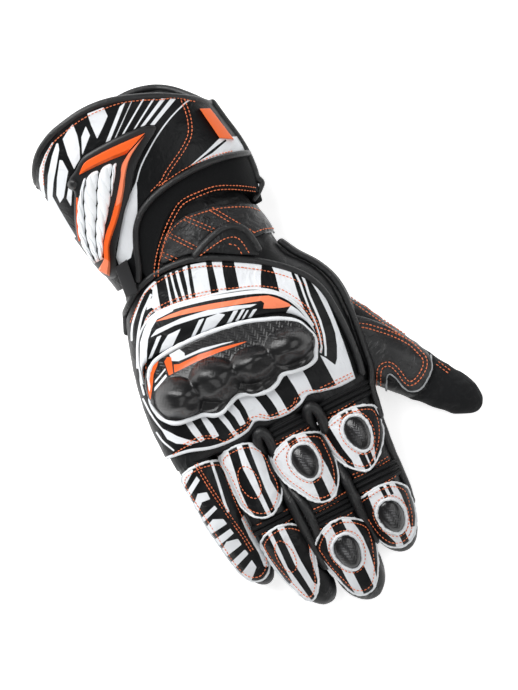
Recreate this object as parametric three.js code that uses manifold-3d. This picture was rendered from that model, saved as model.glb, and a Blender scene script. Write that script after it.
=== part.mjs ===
// A right-hand motorcycle racing glove with a long gauntlet cuff, lying palm down.
// Millimetres. +X is the thumb side, +Y runs from the fingertips to the cuff, +Z is up.
import * as THREE from "three";
import { mergeVertices } from "three/addons/utils/BufferGeometryUtils.js";
import Module from "manifold-3d";

const wasm = await Module();
wasm.setup();

// Driving sizes
const handWall = 2.4; // leather with its lining
const cuffWall = 2.6;
const gap = 0.4; // between one layer and the next
const cutGap = 0.3; // left where one piece is cut back from another
const allowedOverlap = 0.002; // cubic millimetres
const fingerStart = -45.3; // where the finger sleeves are sewn to the hand
const handEnd = -45;
const sleeveEnd = 90; // top of the sleeve, inside the gauntlet
const panelOff = 0.7; // the back panel stands this far off the hand
const panelThickness = 1.4;
const armourOff = 0.8;
const armourThickness = 2.1;
const ribOff = 0.6;
const strapThickness = 2.4;
const weltRadius = 1.7;
const sideWeltRadius = 2.3;
const palmEnd = 60; // lower edge of the gauntlet's palm side
const stretchSink = 0.2; // the stretch window lies this far below the leather round it
const sliderHalf = [6.4, 9.6]; // half the width and length of a carbon slider
const sliderRise = 3.4;
const edgePasses = 8; // tries to meet an edge line from below
const thumbRoot = new THREE.Vector2(30, -8);
const thumbTurn = THREE.MathUtils.degToRad(34.75); // from the hand's axis, seen from above

const colours = {
  black: 0x17191b,
  suede: 0x1f2426,
  white: 0xe9edf2,
  orange: 0xf0622a,
  carbon: 0x24272a,
};
const finishes = {
  leather: { color: colours.black, roughness: 0.5, metalness: 0 },
  print: { color: colours.white, roughness: 0.45, metalness: 0 },
  stretch: { color: colours.suede, roughness: 0.85, metalness: 0 },
  carbon: { color: colours.carbon, roughness: 0.2, metalness: 0.1 },
  rubber: { color: colours.black, roughness: 0.6, metalness: 0 },
  orange: { color: colours.orange, roughness: 0.5, metalness: 0 },
  white: { color: colours.white, roughness: 0.5, metalness: 0 },
};

const rowsOf = (columns, rows) =>
  rows.map((row) => Object.fromEntries(columns.split(" ").map((c, i) => [c, row[i]])));

// A smooth curve through a table, read at any place along its first column.
function smooth(rows, key, value, at) {
  const x = rows.map((r) => r[key]);
  const y = rows.map((r) => r[value]);
  const last = rows.length - 1;
  const t = THREE.MathUtils.clamp(at, Math.min(x[0], x[last]), Math.max(x[0], x[last]));
  let i = 0;
  while (i < last - 1 && (x[i + 1] - t) * (x[last] - x[0]) < 0) i++;
  const slope = (j) => {
    const [a, b] = [Math.max(j - 1, 0), Math.min(j + 1, last)];
    return (y[b] - y[a]) / (x[b] - x[a]);
  };
  const span = x[i + 1] - x[i];
  const u = (t - x[i]) / span;
  const [m0, m1] = [slope(i) * span, slope(i + 1) * span];
  return (
    (2 * u ** 3 - 3 * u ** 2 + 1) * y[i] +
    (u ** 3 - 2 * u ** 2 + u) * m0 +
    (3 * u ** 2 - 2 * u ** 3) * y[i + 1] +
    (u ** 3 - u ** 2) * m1
  );
}

const signedPower = (v, p) => Math.sign(v) * Math.abs(v) ** p;

// A hollow body whose sections stand across Y. Each section is a superellipse between its row's
// left, right, top and bottom, and nothing goes lower than the surface that the glove lies on.
class Loft {
  constructor(rows, { topPower = 2.2, bottomPower = 2.6, tip = null } = {}) {
    Object.assign(this, { rows, topPower, bottomPower, tip });
  }
  section(y, off) {
    const [left, right, top, bottom] = ["left", "right", "top", "bottom"].map((k) =>
      smooth(this.rows, "y", k, y),
    );
    let share = 1;
    if (this.tip && y < this.tip.start) {
      const reach = (this.tip.start - y) / (this.tip.start - this.tip.end + off);
      share = Math.sqrt(Math.max(0, 1 - reach ** 2));
    }
    return {
      x: (left + right) / 2,
      z: (top + bottom) / 2,
      halfWidth: ((right - left) / 2 + off) * share,
      halfHeight: ((top - bottom) / 2 + off) * share,
    };
  }
  // angle 0 is the right side, a quarter turn the top, half a turn the left side
  point(angle, y, off = 0) {
    const s = this.section(y, off);
    const [c, u] = [Math.cos(angle), Math.sin(angle)];
    const power = 2 / (u >= 0 ? this.topPower : this.bottomPower);
    const z = s.z + s.halfHeight * signedPower(u, power);
    const rest = Math.max(0, -off);
    return new THREE.Vector3(s.x + s.halfWidth * signedPower(c, power), y, Math.max(z, rest));
  }
  // The angle at which the upper surface, off the loft, is at x, seen from above.
  angleAt(x, y, off = 0) {
    const s = this.section(y, off);
    const share = THREE.MathUtils.clamp((x - s.x) / s.halfWidth, -1, 1);
    return Math.acos(signedPower(share, this.topPower / 2));
  }
  above(x, y, off) {
    return this.point(this.angleAt(x, y, off), y, off);
  }
}

// Evenly spaced values from a to b, both included.
const steps = (a, b, count) =>
  Array.from({ length: count + 1 }, (_, i) => a + ((b - a) * i) / count);

function geometryOf(points, faces) {
  const made = new THREE.BufferGeometry();
  made.setAttribute(
    "position",
    new THREE.Float32BufferAttribute(points.flatMap((p) => [p.x, p.y, p.z]), 3),
  );
  const volume = faces.reduce(
    (sum, [a, b, c]) => sum + points[a].dot(points[b].clone().cross(points[c])),
    0,
  );
  const outward = volume < 0 ? faces.map(([a, b, c]) => [a, c, b]) : faces;
  made.setIndex(outward.flat());
  made.computeVertexNormals();
  return made;
}

// A closed skin over a run of rings. With no poles, the last ring joins the first.
function skinOver(rings, startPole, endPole) {
  const points = rings.flat();
  const faces = [];
  const around = rings[0].length;
  const joins = startPole ? rings.length - 1 : rings.length;
  for (let r = 0; r < joins; r++)
    for (let i = 0; i < around; i++) {
      const [a, b] = [r * around + i, r * around + ((i + 1) % around)];
      const next = ((r + 1) % rings.length) * around;
      const [c, d] = [next + ((i + 1) % around), next + i];
      faces.push([a, b, c], [a, c, d]);
    }
  if (startPole) {
    const [first, last] = [points.length, points.length + 1];
    points.push(startPole, endPole);
    const base = (rings.length - 1) * around;
    for (let i = 0; i < around; i++) {
      faces.push([first, (i + 1) % around, i], [last, base + i, base + ((i + 1) % around)]);
    }
  }
  return geometryOf(points, faces);
}

// A sheet with a thickness, from two grids of points.
function slabBetween(outer, inner) {
  const [rows, columns] = [outer.length, outer[0].length];
  const points = [...outer.flat(), ...inner.flat()];
  const at = (side, r, c) => side * rows * columns + r * columns + c;
  const faces = [];
  const quad = (a, b, c, d) => faces.push([a, b, c], [a, c, d]);
  for (let r = 0; r < rows - 1; r++)
    for (let c = 0; c < columns - 1; c++) {
      quad(at(0, r, c), at(0, r, c + 1), at(0, r + 1, c + 1), at(0, r + 1, c));
      quad(at(1, r, c), at(1, r + 1, c), at(1, r + 1, c + 1), at(1, r, c + 1));
    }
  for (let r = 0; r < rows - 1; r++) {
    quad(at(0, r, 0), at(0, r + 1, 0), at(1, r + 1, 0), at(1, r, 0));
    const edge = columns - 1;
    quad(at(0, r + 1, edge), at(0, r, edge), at(1, r, edge), at(1, r + 1, edge));
  }
  for (let c = 0; c < columns - 1; c++) {
    quad(at(0, 0, c + 1), at(0, 0, c), at(1, 0, c), at(1, 0, c + 1));
    const edge = rows - 1;
    quad(at(0, edge, c), at(0, edge, c + 1), at(1, edge, c + 1), at(1, edge, c));
  }
  return geometryOf(points, faces);
}

// A ring of points across the loft at y.
const ringAt = (loft, y, off, sides) =>
  steps(0, 2 * Math.PI, sides)
    .slice(0, sides)
    .map((angle) => loft.point(angle, y, off));

// The places along a finger where its rings stand, closer together round the tip.
function fingerStations(loft, start, off, straight = 5, round = 4) {
  const { start: bend, end } = loft.tip;
  const turns = steps(0, Math.PI / 2, round).slice(1, round);
  return [
    ...steps(start, bend, straight),
    ...turns.map((t) => bend - (bend - end + off) * Math.sin(t)),
  ];
}

// A sleeve open at its root and closed at its tip.
function fingerSleeve(loft, start, wall, sides) {
  const rings = (off) =>
    fingerStations(loft, start, off).map((y) => ringAt(loft, y, off, sides));
  const pole = (off) => {
    const y = loft.tip.end - off;
    const s = loft.section(y, 0);
    return new THREE.Vector3(s.x, y, s.z);
  };
  return skinOver([...rings(0).reverse(), ...rings(-wall)], pole(0), pole(-wall));
}

// A filled copy of the same form, for cuts.
function fingerCore(loft, start, off, sides) {
  const rings = fingerStations(loft, start, off).map((y) => ringAt(loft, y, off, sides));
  const tipY = loft.tip.end - off;
  const [root, tip] = [loft.section(start, 0), loft.section(tipY, 0)];
  return skinOver(
    rings,
    new THREE.Vector3(root.x, start, root.z),
    new THREE.Vector3(tip.x, tipY, tip.z),
  );
}

const closedCurve = (outline, count) =>
  new THREE.CatmullRomCurve3(
    outline.map(([x, y]) => new THREE.Vector3(x, y, 0)),
    true,
    "centripetal",
  )
    .getSpacedPoints(count)
    .slice(0, count);

// A pad on a loft, seen from above as an outline round a centre. crown(r) is the height of its
// outer face off the loft, from 0 at the centre to 1 at the edge.
function padOn(loft, { outline, centre, count = 22, rings = [0.45, 0.8, 1], low, crown }) {
  const edge = closedCurve(outline, count);
  const [cx, cy] = centre;
  const ring = (r, off) =>
    edge.map((p) => loft.above(cx + (p.x - cx) * r, cy + (p.y - cy) * r, off));
  return skinOver(
    [...rings.map((r) => ring(r, crown(r))), ...[...rings].reverse().map((r) => ring(r, low))],
    loft.above(cx, cy, crown(0)),
    loft.above(cx, cy, low),
  );
}

const ellipseOutline = ([x, y], halfWidth, halfLength, count = 12) =>
  steps(0, 2 * Math.PI, count)
    .slice(0, count)
    .map((a) => [x + halfWidth * Math.cos(a), y + halfLength * Math.sin(a)]);

// A panel on a loft between two edges, each giving y for an x seen from above.
// fromAngle and toAngle are where it starts and ends round the loft.
function panelOn(loft, { angles, lowEdge, highEdge, rows = 5, low, high }) {
  const grid = (off) =>
    steps(0, 1, rows).map((share) =>
      angles.map((angle) => {
        const edgeAt = (edge) => {
          let y = edge(0, angle);
          for (let pass = 0; pass < edgePasses; pass++) y = edge(loft.point(angle, y).x, angle);
          return y;
        };
        const [a, b] = [edgeAt(lowEdge), edgeAt(highEdge)];
        return loft.point(angle, a + (b - a) * share, off(share));
      }),
    );
  return slabBetween(grid(high), grid(() => low));
}

const edgeThrough = (rows) => (x) => smooth(rows, "x", "y", x);

// A round welt along a line of points.
function weltAlong(points, radius, stepsAlong, sides = 5) {
  const section = new THREE.Shape(
    steps(0, 2 * Math.PI, sides)
      .slice(0, sides)
      .map((a) => new THREE.Vector2(radius * Math.cos(a), radius * Math.sin(a))),
  );
  return new THREE.ExtrudeGeometry(section, {
    steps: stepsAlong,
    bevelEnabled: false,
    extrudePath: new THREE.CatmullRomCurve3(points, false, "centripetal"),
  });
}

function solidOf(geometry) {
  const bare = geometry.index ? geometry.clone() : geometry;
  bare.deleteAttribute("normal");
  bare.deleteAttribute("uv");
  const merged = mergeVertices(bare, 1e-4);
  return new wasm.Manifold(
    new wasm.Mesh({
      numProp: 3,
      vertProperties: new Float32Array(merged.attributes.position.array),
      triVerts: new Uint32Array(merged.index.array),
    }),
  );
}

function geometryFrom(solid) {
  const mesh = solid.getMesh();
  const made = new THREE.BufferGeometry();
  made.setAttribute("position", new THREE.BufferAttribute(mesh.vertProperties, 3));
  made.setIndex(new THREE.BufferAttribute(mesh.triVerts, 1));
  made.computeVertexNormals();
  return made;
}

// The hand, from inside the gauntlet to the finger roots
const hand = new Loft(
  rowsOf("y left right top bottom", [
    [96, -57, 15, 50, 5],
    [78, -60, 17, 51, 4.5],
    [66, -64, 19, 52, 4],
    [56, -66, 20.5, 52.5, 3.2],
    [46, -69.5, 21, 53, -1],
    [38, -73, 24, 53.5, -2],
    [30, -76, 29.5, 54, -2],
    [20, -79, 36, 55, -2],
    [8, -82, 39.5, 55.5, -2],
    [-5, -84.5, 39.5, 55.5, -1.5],
    [-20, -86, 38, 54.5, 0],
    [-34, -86, 36, 52, 4],
    [-46, -86, 34, 48.5, 9],
  ]),
  { topPower: 2.5, bottomPower: 3 },
);

// The gauntlet, which is wider than the wrist inside it
const gauntlet = new Loft(
  rowsOf("y left right top bottom", [
    [162, -84.5, 23, 72, -2],
    [150, -84.5, 23.5, 71, -2],
    [135, -83.5, 24, 70, -2],
    [120, -81.5, 26, 68, -2],
    [105, -79, 28.5, 65, -2],
    [92, -77, 29, 62.5, -2],
    [80, -75, 27.5, 60.5, -2],
    [68, -71.5, 25, 58.5, -2],
    [58, -69.5, 24, 57, -2],
    [48, -68, 24, 56, -2],
  ]),
  { topPower: 2.2, bottomPower: 3 },
);

const fingers = {
  index: new Loft(
    rowsOf("y left right top bottom", [
      [-40, -3.9, 32.5, 46.5, 11],
      [-52, -4, 30.5, 46, 13],
      [-70, -4.2, 27, 45, 15],
      [-85, -4.3, 25, 42, 13],
      [-100, -4.3, 24, 38, 9],
      [-115, -4.4, 22.8, 32.5, 4],
      [-128, -3.8, 21, 26.5, 0],
      [-143, -1.5, 19, 19, -1],
    ]),
    { tip: { start: -128, end: -142.5 } },
  ),
  middle: new Loft(
    rowsOf("y left right top bottom", [
      [-40, -36, -4.6, 48, 11],
      [-55, -36.2, -4.8, 48, 14],
      [-75, -36.4, -5, 46.5, 15],
      [-92, -37, -5, 43, 12],
      [-108, -37, -5.1, 38, 8],
      [-124, -35.8, -5.4, 32, 3],
      [-140, -33.9, -6.5, 25, -1],
      [-158, -31, -8, 17, -1],
    ]),
    { tip: { start: -142, end: -158 } },
  ),
  ring: new Loft(
    rowsOf("y left right top bottom", [
      [-40, -60.8, -37, 46.5, 11],
      [-55, -61.2, -37.4, 46.5, 14],
      [-72, -61.8, -37.6, 44.5, 14.5],
      [-88, -62, -37.8, 41, 12],
      [-104, -61.8, -37.8, 36, 7],
      [-120, -60.2, -36.7, 29.5, 2],
      [-134, -56.6, -35, 23, -1],
      [-149, -53, -33.5, 17, -1],
    ]),
    { tip: { start: -134, end: -149 } },
  ),
  little: new Loft(
    rowsOf("y left right top bottom", [
      [-40, -85, -61.6, 43, 9.5],
      [-55, -85, -62, 41.5, 11],
      [-70, -84.6, -62.6, 38, 9.5],
      [-85, -83.4, -62.8, 33.5, 6],
      [-98, -81.4, -62.6, 28.5, 2],
      [-110, -79.4, -61.6, 22.5, -1],
      [-124, -77.4, -60.2, 16, -1],
    ]),
    { tip: { start: -110, end: -124 } },
  ),
};

// The thumb stands in its own frame: its tip is at -Y there, and its outer side at +X.
const thumb = new Loft(
  rowsOf("y left right top bottom", [
    [14, -22, 15, 33, 5],
    [-5, -23, 15.2, 33.5, 4],
    [-20, -22.8, 14, 33.2, 3],
    [-35, -21.6, 11.8, 32.2, 2],
    [-50, -19.9, 9.8, 30.6, 1],
    [-65, -17.9, 8.4, 28.2, 0],
    [-80, -15.6, 7.4, 25, -1],
    [-96, -13.5, 6, 21, -1],
  ]),
  { tip: { start: -81, end: -96.5 } },
);
const thumbPlace = new THREE.Matrix4()
  .makeRotationZ(thumbTurn)
  .setPosition(thumbRoot.x, thumbRoot.y, 0);

const glove = new THREE.Group();
const solids = {};

// Adds one piece. It is cut back where a neighbour that is already there comes closer than the
// gap, and what such a cut leaves loose is dropped.
function addPiece(name, geometry, finish, neighbours = []) {
  let solid = geometry.isBufferGeometry ? solidOf(geometry) : geometry;
  const ways = [[1, 0, 0], [-1, 0, 0], [0, 1, 0], [0, -1, 0], [0, 0, 1], [0, 0, -1]];
  for (const other of neighbours) {
    if (solid.intersect(solids[other]).volume() < allowedOverlap) continue;
    for (const way of ways)
      solid = solid.subtract(solids[other].translate(way.map((v) => v * cutGap)));
    solid = solid.decompose().sort((a, b) => b.volume() - a.volume())[0];
  }
  solids[name] = solid;
  const piece = new THREE.Mesh(
    geometryFrom(solid),
    new THREE.MeshStandardMaterial(finishes[finish]),
  );
  piece.name = name;
  glove.add(piece);
}

// A filled run of rings, for joins and cuts.
function filledLoft(loft, ys, off, sides) {
  const [top, bottom] = [ys[0], ys.at(-1)].map((y) => {
    const s = loft.section(y, 0);
    return new THREE.Vector3(s.x, y, s.z);
  });
  return solidOf(skinOver(ys.map((y) => ringAt(loft, y, off, sides)), top, bottom));
}

// Hand, fingers and thumb
function addHand() {
  const sides = 24;
  const thumbSides = 12;
  const fingerSides = 12;
  const ys = [sleeveEnd, 68, 50, 38, 24, 4, -18, handEnd];
  const hollowYs = [sleeveEnd + 5, ...ys.slice(1, -1), handEnd + handWall];
  const thumbHole = fingerCore(thumb, 10, -handWall, thumbSides).applyMatrix4(thumbPlace);
  let shell = filledLoft(hand, ys, 0, sides)
    .subtract(filledLoft(hand, hollowYs, -handWall, sides))
    .subtract(solidOf(thumbHole));
  for (const loft of Object.values(fingers))
    shell = shell.subtract(solidOf(fingerCore(loft, -40, -handWall, fingerSides)));
  addPiece("hand_shell", shell, "leather");

  for (const [name, loft] of Object.entries(fingers))
    addPiece(`${name}_finger`, fingerSleeve(loft, fingerStart, handWall, fingerSides), "leather");
  const sleeve = fingerSleeve(thumb, 0, handWall, thumbSides).applyMatrix4(thumbPlace);
  const outside = solidOf(sleeve)
    .subtract(filledLoft(hand, ys, gap, sides))
    .decompose()
    .sort((a, b) => b.volume() - a.volume())[0];
  addPiece("thumb", outside, "leather", ["index_finger"]);
}

// The gauntlet's edges, seen from above: y for each x
const backRim = edgeThrough(
  rowsOf("x y", [
    [-84.5, 129], [-82, 137.5], [-76, 145.5], [-66, 151.5], [-54, 154.5], [-40, 156],
    [-26, 154.5], [-12, 150], [0, 145], [10, 139.5], [17, 135], [24, 129],
  ]),
);
const palmRim = edgeThrough(
  rowsOf("x y", [
    [-84.5, 129], [-76, 140], [-60, 149], [-40, 153.5], [-15, 155], [-2, 152.5],
    [8, 147], [16, 139], [24, 129],
  ]),
);
const archEdge = edgeThrough(
  rowsOf("x y", [
    [-76, 60], [-64, 59.5], [-57, 60], [-53, 66], [-49, 77], [-44, 87], [-36, 94.5],
    [-22, 99.5], [-4, 101.3], [12, 100.5], [22, 98.5], [30, 96],
  ]),
);
const windowEdge = edgeThrough(
  rowsOf("x y", [
    [-62, 57], [-50, 57.5], [-45, 62], [-38, 72], [-30, 80.5], [-22, 86],
    [-12, 88.5], [0, 86.8], [10, 83.3], [20, 78.5], [26, 73],
  ]),
);

const seamGap = 1;
const seamTurn = 0.02; // half the gap between two panels, round the gauntlet
const leftSeam = Math.PI * 1.12;
const rightSeam = 0;

function addGauntlet() {
  addPiece(
    "gauntlet_back",
    panelOn(gauntlet, {
      angles: steps(rightSeam, leftSeam, 18),
      lowEdge: (x, angle) => (angle > Math.PI ? palmEnd : archEdge(x)),
      highEdge: (x, angle) => (angle > Math.PI ? palmRim(x) : backRim(x)),
      low: -cuffWall,
      high: () => 0,
    }),
    "print",
  );
  const archStart = gauntlet.angleAt(-53, 66);
  addPiece(
    "stretch_panel",
    panelOn(gauntlet, {
      angles: steps(rightSeam, archStart, 14),
      lowEdge: windowEdge,
      highEdge: (x) => archEdge(x) - seamGap,
      rows: 3,
      low: -cuffWall,
      high: () => -stretchSink,
    }),
    "stretch",
  );
  addPiece(
    "gauntlet_palm",
    panelOn(gauntlet, {
      angles: steps(leftSeam + seamTurn, 2 * Math.PI - seamTurn, 16),
      lowEdge: (x) => palmEnd + 8 * THREE.MathUtils.smoothstep(x, 0, 22),
      highEdge: palmRim,
      rows: 4,
      low: -cuffWall,
      high: () => 0,
    }),
    "leather",
  );

  // Welts and bindings of the gauntlet
  const weltOff = weltRadius + gap;
  const alongAngles = (from, to, count, place) => steps(from, to, count).map(place);
  const edgePoint = (edge, past, off) => (angle) => {
    let y = edge(0);
    for (let pass = 0; pass < edgePasses; pass++) y = edge(gauntlet.point(angle, y).x);
    const at = gauntlet.point(angle, y + past, off);
    at.z = Math.max(at.z, weltRadius);
    return at;
  };
  addPiece(
    "arch_welt",
    weltAlong(
      alongAngles(0.06, gauntlet.angleAt(-55.5, 62), 18, edgePoint(archEdge, 0, weltOff)),
      weltRadius,
      24,
    ),
    "leather",
  );
  const bindOff = -cuffWall / 2;
  addPiece(
    "back_binding",
    weltAlong(
      alongAngles(0.1, Math.PI - 0.04, 24, edgePoint(backRim, weltOff, bindOff)),
      weltRadius,
      26,
    ),
    "leather",
    ["gauntlet_back"],
  );
  addPiece(
    "palm_binding",
    weltAlong(
      alongAngles(Math.PI + 0.1, 2 * Math.PI - 0.04, 24, edgePoint(palmRim, weltOff, bindOff)),
      weltRadius,
      24,
    ),
    "leather",
    ["gauntlet_palm", "gauntlet_back"],
  );
  const sideLine = steps(128, 76, 8).map((y) => gauntlet.point(0, y, weltOff));
  addPiece("side_binding", weltAlong(sideLine, weltRadius, 8), "leather");
}

// The guard on the outer side of the gauntlet
function addCuffGuard() {
  const base = [
    [-66, 119], [-67.4, 123.5], [-64.5, 127.2], [-60, 129.5], [-55, 133], [-50, 134.8],
    [-36, 135.4], [-20, 134.6], [-11.5, 132.6], [-9.2, 130.6], [-12, 128], [-18, 124.5],
    [-25, 119.5], [-30, 115], [-34, 110.2], [-40, 102.8], [-45, 98], [-50, 92], [-56, 85.3],
    [-61, 78.6], [-63.5, 73.5], [-65.5, 67.5], [-69.5, 67.5], [-72.5, 71.5], [-74.6, 79],
    [-75.8, 87], [-76, 95.5], [-73.3, 104.5], [-69.8, 112],
  ];
  addPiece(
    "guard_base",
    padOn(gauntlet, {
      outline: base, centre: [-52, 106], count: 32, rings: [0.4, 0.75, 1], low: 0.9,
      crown: (r) => 1.6 + 1.2 * (1 - r ** 4),
    }),
    "rubber",
    ["gauntlet_back"],
  );
  // A raised strip between two edges that run beside each other, crowned across its width
  const addStrip = (name, finish, leftEdge, rightEdge, low, high) => {
    const curves = [leftEdge, rightEdge].map((edge) =>
      new THREE.CatmullRomCurve3(
        edge.map(([x, y]) => new THREE.Vector3(x, y, 0)),
        false,
        "centripetal",
      ),
    );
    const rows = steps(0, 1, 8).map((t) => curves.map((curve) => curve.getPoint(t)));
    const sheet = (rise) =>
      rows.map(([left, right]) =>
        [0, 0.5, 1].map((u, i) =>
          gauntlet.above(
            left.x + (right.x - left.x) * u,
            left.y + (right.y - left.y) * u,
            rise(i),
          ),
        ),
      );
    addPiece(name, slabBetween(sheet((i) => high[i]), sheet(() => low)), finish, ["guard_base"]);
  };
  const barHeights = [5, 5.8, 5];
  addStrip(
    "guard_top_bar", "orange",
    [[-58.9, 126.8], [-53.3, 130.9], [-45, 131.5], [-35, 131.4], [-25, 130.9], [-16, 130.4]],
    [[-58.7, 126.3], [-52, 126.3], [-46, 126.1], [-40, 125.7], [-35, 125.2], [-30.5, 124.8]],
    3.7, barHeights,
  );
  addStrip(
    "guard_side_bar", "orange",
    [[-30, 124.2], [-35.8, 120.2], [-39.2, 115], [-43, 110], [-47.2, 104.8], [-51, 100.6],
      [-56, 95.2], [-60.3, 91.4], [-64, 87], [-66.6, 82.6], [-68.4, 78.8], [-74, 75]],
    [[-16.3, 129.6], [-29.5, 122], [-36, 114.8], [-39.6, 109.3], [-43.2, 104.4], [-47.2, 99.4],
      [-51.2, 95], [-56.3, 90], [-60.6, 85.8], [-63.2, 82], [-66, 75.6], [-69.7, 69]],
    3.7, barHeights,
  );
  // The white padding inside the bars, in rolls that run down the guard
  const padLeft = [
    [-60.5, 121], [-64.8, 115.8], [-69.2, 109.5], [-73, 102], [-75.4, 94], [-75.8, 86],
    [-74.6, 79.6],
  ];
  const padRight = [
    [-37.5, 122.3], [-43, 114.6], [-49.5, 106], [-56.4, 97.8], [-61.4, 91], [-65.4, 84.6],
    [-67.8, 80.4],
  ];
  const rolls = 4;
  const rollGap = 0.05; // as a share of the padding's width
  const across = (u) =>
    padLeft.map(([x, y], i) => [x + (padRight[i][0] - x) * u, y + (padRight[i][1] - y) * u]);
  for (let i = 0; i < rolls; i++)
    addStrip(
      `guard_roll_${i + 1}`, "white",
      across(i / rolls + rollGap / 2), across((i + 1) / rolls - rollGap / 2),
      3.7, [4.4, 5.4, 4.4],
    );
}

// Tags sewn into the seams
function addTags() {
  const tag = (name, corners, low, high, finish) => {
    const sheet = (off) =>
      steps(0, 1, 4).map((v) =>
        [0, 0.5, 1].map((u) => {
          const mix = (k) =>
            (corners[0][k] * (1 - u) + corners[1][k] * u) * (1 - v) +
            (corners[3][k] * (1 - u) + corners[2][k] * u) * v;
          return gauntlet.above(mix(0), mix(1), off);
        }),
      );
    addPiece(name, slabBetween(sheet(high), sheet(low)), finish);
  };
  tag("side_tag", [[16.9, 129], [22.3, 126.6], [26.2, 105.5], [19.4, 109.5]], 0.5, 1.9, "orange");
  tag("wrist_tag", [[-65, 72], [-57, 73], [-59.5, 54], [-67, 54.5]], 2.3, 3.3, "leather");
}

// The wrist strap and its tab
function addStrap() {
  const lowEdge = edgeThrough(
    rowsOf("x y", [
      [-46, 62], [-38, 61.5], [-28, 60.5], [-18, 57.5], [-8, 53.5], [2, 51], [12, 51.5], [25, 49.5],
    ]),
  );
  const highEdge = edgeThrough(
    rowsOf("x y", [
      [-46, 63], [-42, 66.5], [-36, 73], [-29, 77], [-20, 79.5], [-9, 79], [0, 77], [10, 73],
      [18, 68.5], [22, 63.5],
    ]),
  );
  const [under, left] = [-0.75, hand.angleAt(-40, 64)];
  addPiece(
    "wrist_strap",
    panelOn(hand, {
      angles: steps(under, left, 16), lowEdge, highEdge, rows: 2,
      low: gap, high: () => gap + strapThickness,
    }),
    "leather",
    ["hand_shell", "stretch_panel"],
  );
  addPiece(
    "strap_tab",
    padOn(hand, {
      outline: [
        [-22, 58], [-15, 61], [-7, 63.3], [0, 63.8], [5, 62], [8.5, 58], [10, 52], [10.5, 45],
        [9, 42], [4, 44.5], [-4, 49], [-12, 54], [-18, 57],
      ],
      centre: [0, 54], count: 24, rings: [0.6, 1], low: 3.3, crown: (r) => 5.2 + 0.8 * (1 - r ** 2),
    }),
    "leather",
    ["wrist_strap"],
  );
}

// The printed panel on the back of the hand and what is on it
const panelTop = edgeThrough(
  rowsOf("x y", [
    [-85, 38], [-76, 42], [-70, 46], [-65, 50.5], [-58, 55], [-45, 58], [-30, 57], [-20, 54],
    [-10, 49], [0, 43], [10, 36], [20, 27], [26.5, 18], [29.5, 8], [30.5, 0],
  ]),
);
const panelBottom = edgeThrough(
  rowsOf("x y", [
    [-86, -36], [-74, -38], [-62, -42], [-50, -43.5], [-40, -42.5], [-34, -39.5], [-28, -42],
    [-18, -44], [-8, -42.5], [-2, -39.5], [6, -41.5], [16, -43.5], [30, -43],
  ]),
);

function addBackPanel() {
  const [right, left] = [0.64, Math.PI * 1.06]; // angles round the hand
  const weltRoom = 3;
  addPiece(
    "back_panel",
    panelOn(hand, {
      angles: steps(right, left, 16),
      lowEdge: panelBottom,
      highEdge: (x) => panelTop(x) - weltRoom,
      low: panelOff,
      high: () => panelOff + panelThickness,
    }),
    "print",
    ["hand_shell"],
  );
  const weltLine = [
    [-81, 37.2], [-73.6, 45], [-66.4, 50.8], [-58, 56], [-45, 58.8], [-30, 57.8], [-19.7, 54.8],
    [-9.6, 49.8], [0.5, 43.9], [10.6, 36.8], [20.8, 27.8], [28.2, 18.4], [32.2, 8.2], [33.6, -5],
    [33.6, -20], [32.4, -34], [30.8, -42],
  ].map(([x, y]) => hand.above(x, y, weltRadius + panelOff));
  addPiece(
    "panel_welt", weltAlong(weltLine, weltRadius, 30), "leather",
    ["hand_shell", "back_panel", "stretch_panel", "strap_tab", "wrist_tag"],
  );

  const sideLine = [
    ...[43, 34, 24, 14, 4, -8, -20, -32].map((y) =>
      hand.point(0.2, y, sideWeltRadius + gap),
    ),
    ...[-47, -57, -66].map((y) => fingers.index.point(0.3, y, sideWeltRadius + gap)),
  ];
  addPiece(
    "side_welt", weltAlong(sideLine, sideWeltRadius, 24), "leather",
    ["hand_shell", "index_finger", "panel_welt", "thumb"],
  );
}

// The knuckle guard: a hard shell with a brim and four domes, and the padded print above it
const knuckles = rowsOf("x y width length height", [
  [-67, -8, 10.5, 12.5, 8],
  [-43, -8.5, 12.5, 13.5, 10.5],
  [-19.5, -10.5, 11.5, 12, 9.5],
  [0, -9, 11, 11, 8.5],
]);
const guardHigh = edgeThrough(
  rowsOf("x y", [
    [-80.5, 4], [-78, 10], [-74, 14.3], [-66, 16.6], [-54, 16.6], [-40, 16.3], [-26, 15],
    [-12, 12], [0, 8.3], [8, 4.5], [13, -1], [16, -9],
  ]),
);
const guardLow = edgeThrough(
  rowsOf("x y", [
    [-80.5, -10], [-78, -16.5], [-74, -21], [-68, -22.5], [-58, -23], [-49, -26.5], [-37, -23],
    [-29, -26], [-19, -28], [-9, -23.6], [0, -24.6], [6, -25.2], [12, -21.5], [16, -14],
  ]),
);
const knuckleRise = (x, y) =>
  Math.max(
    ...knuckles.map((k) => {
      const r = Math.hypot((x - k.x) / k.width, (y - k.y) / k.length);
      return r < 1 ? k.height * Math.sqrt(1 - r ** 2.4) : 0;
    }),
  );

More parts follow.
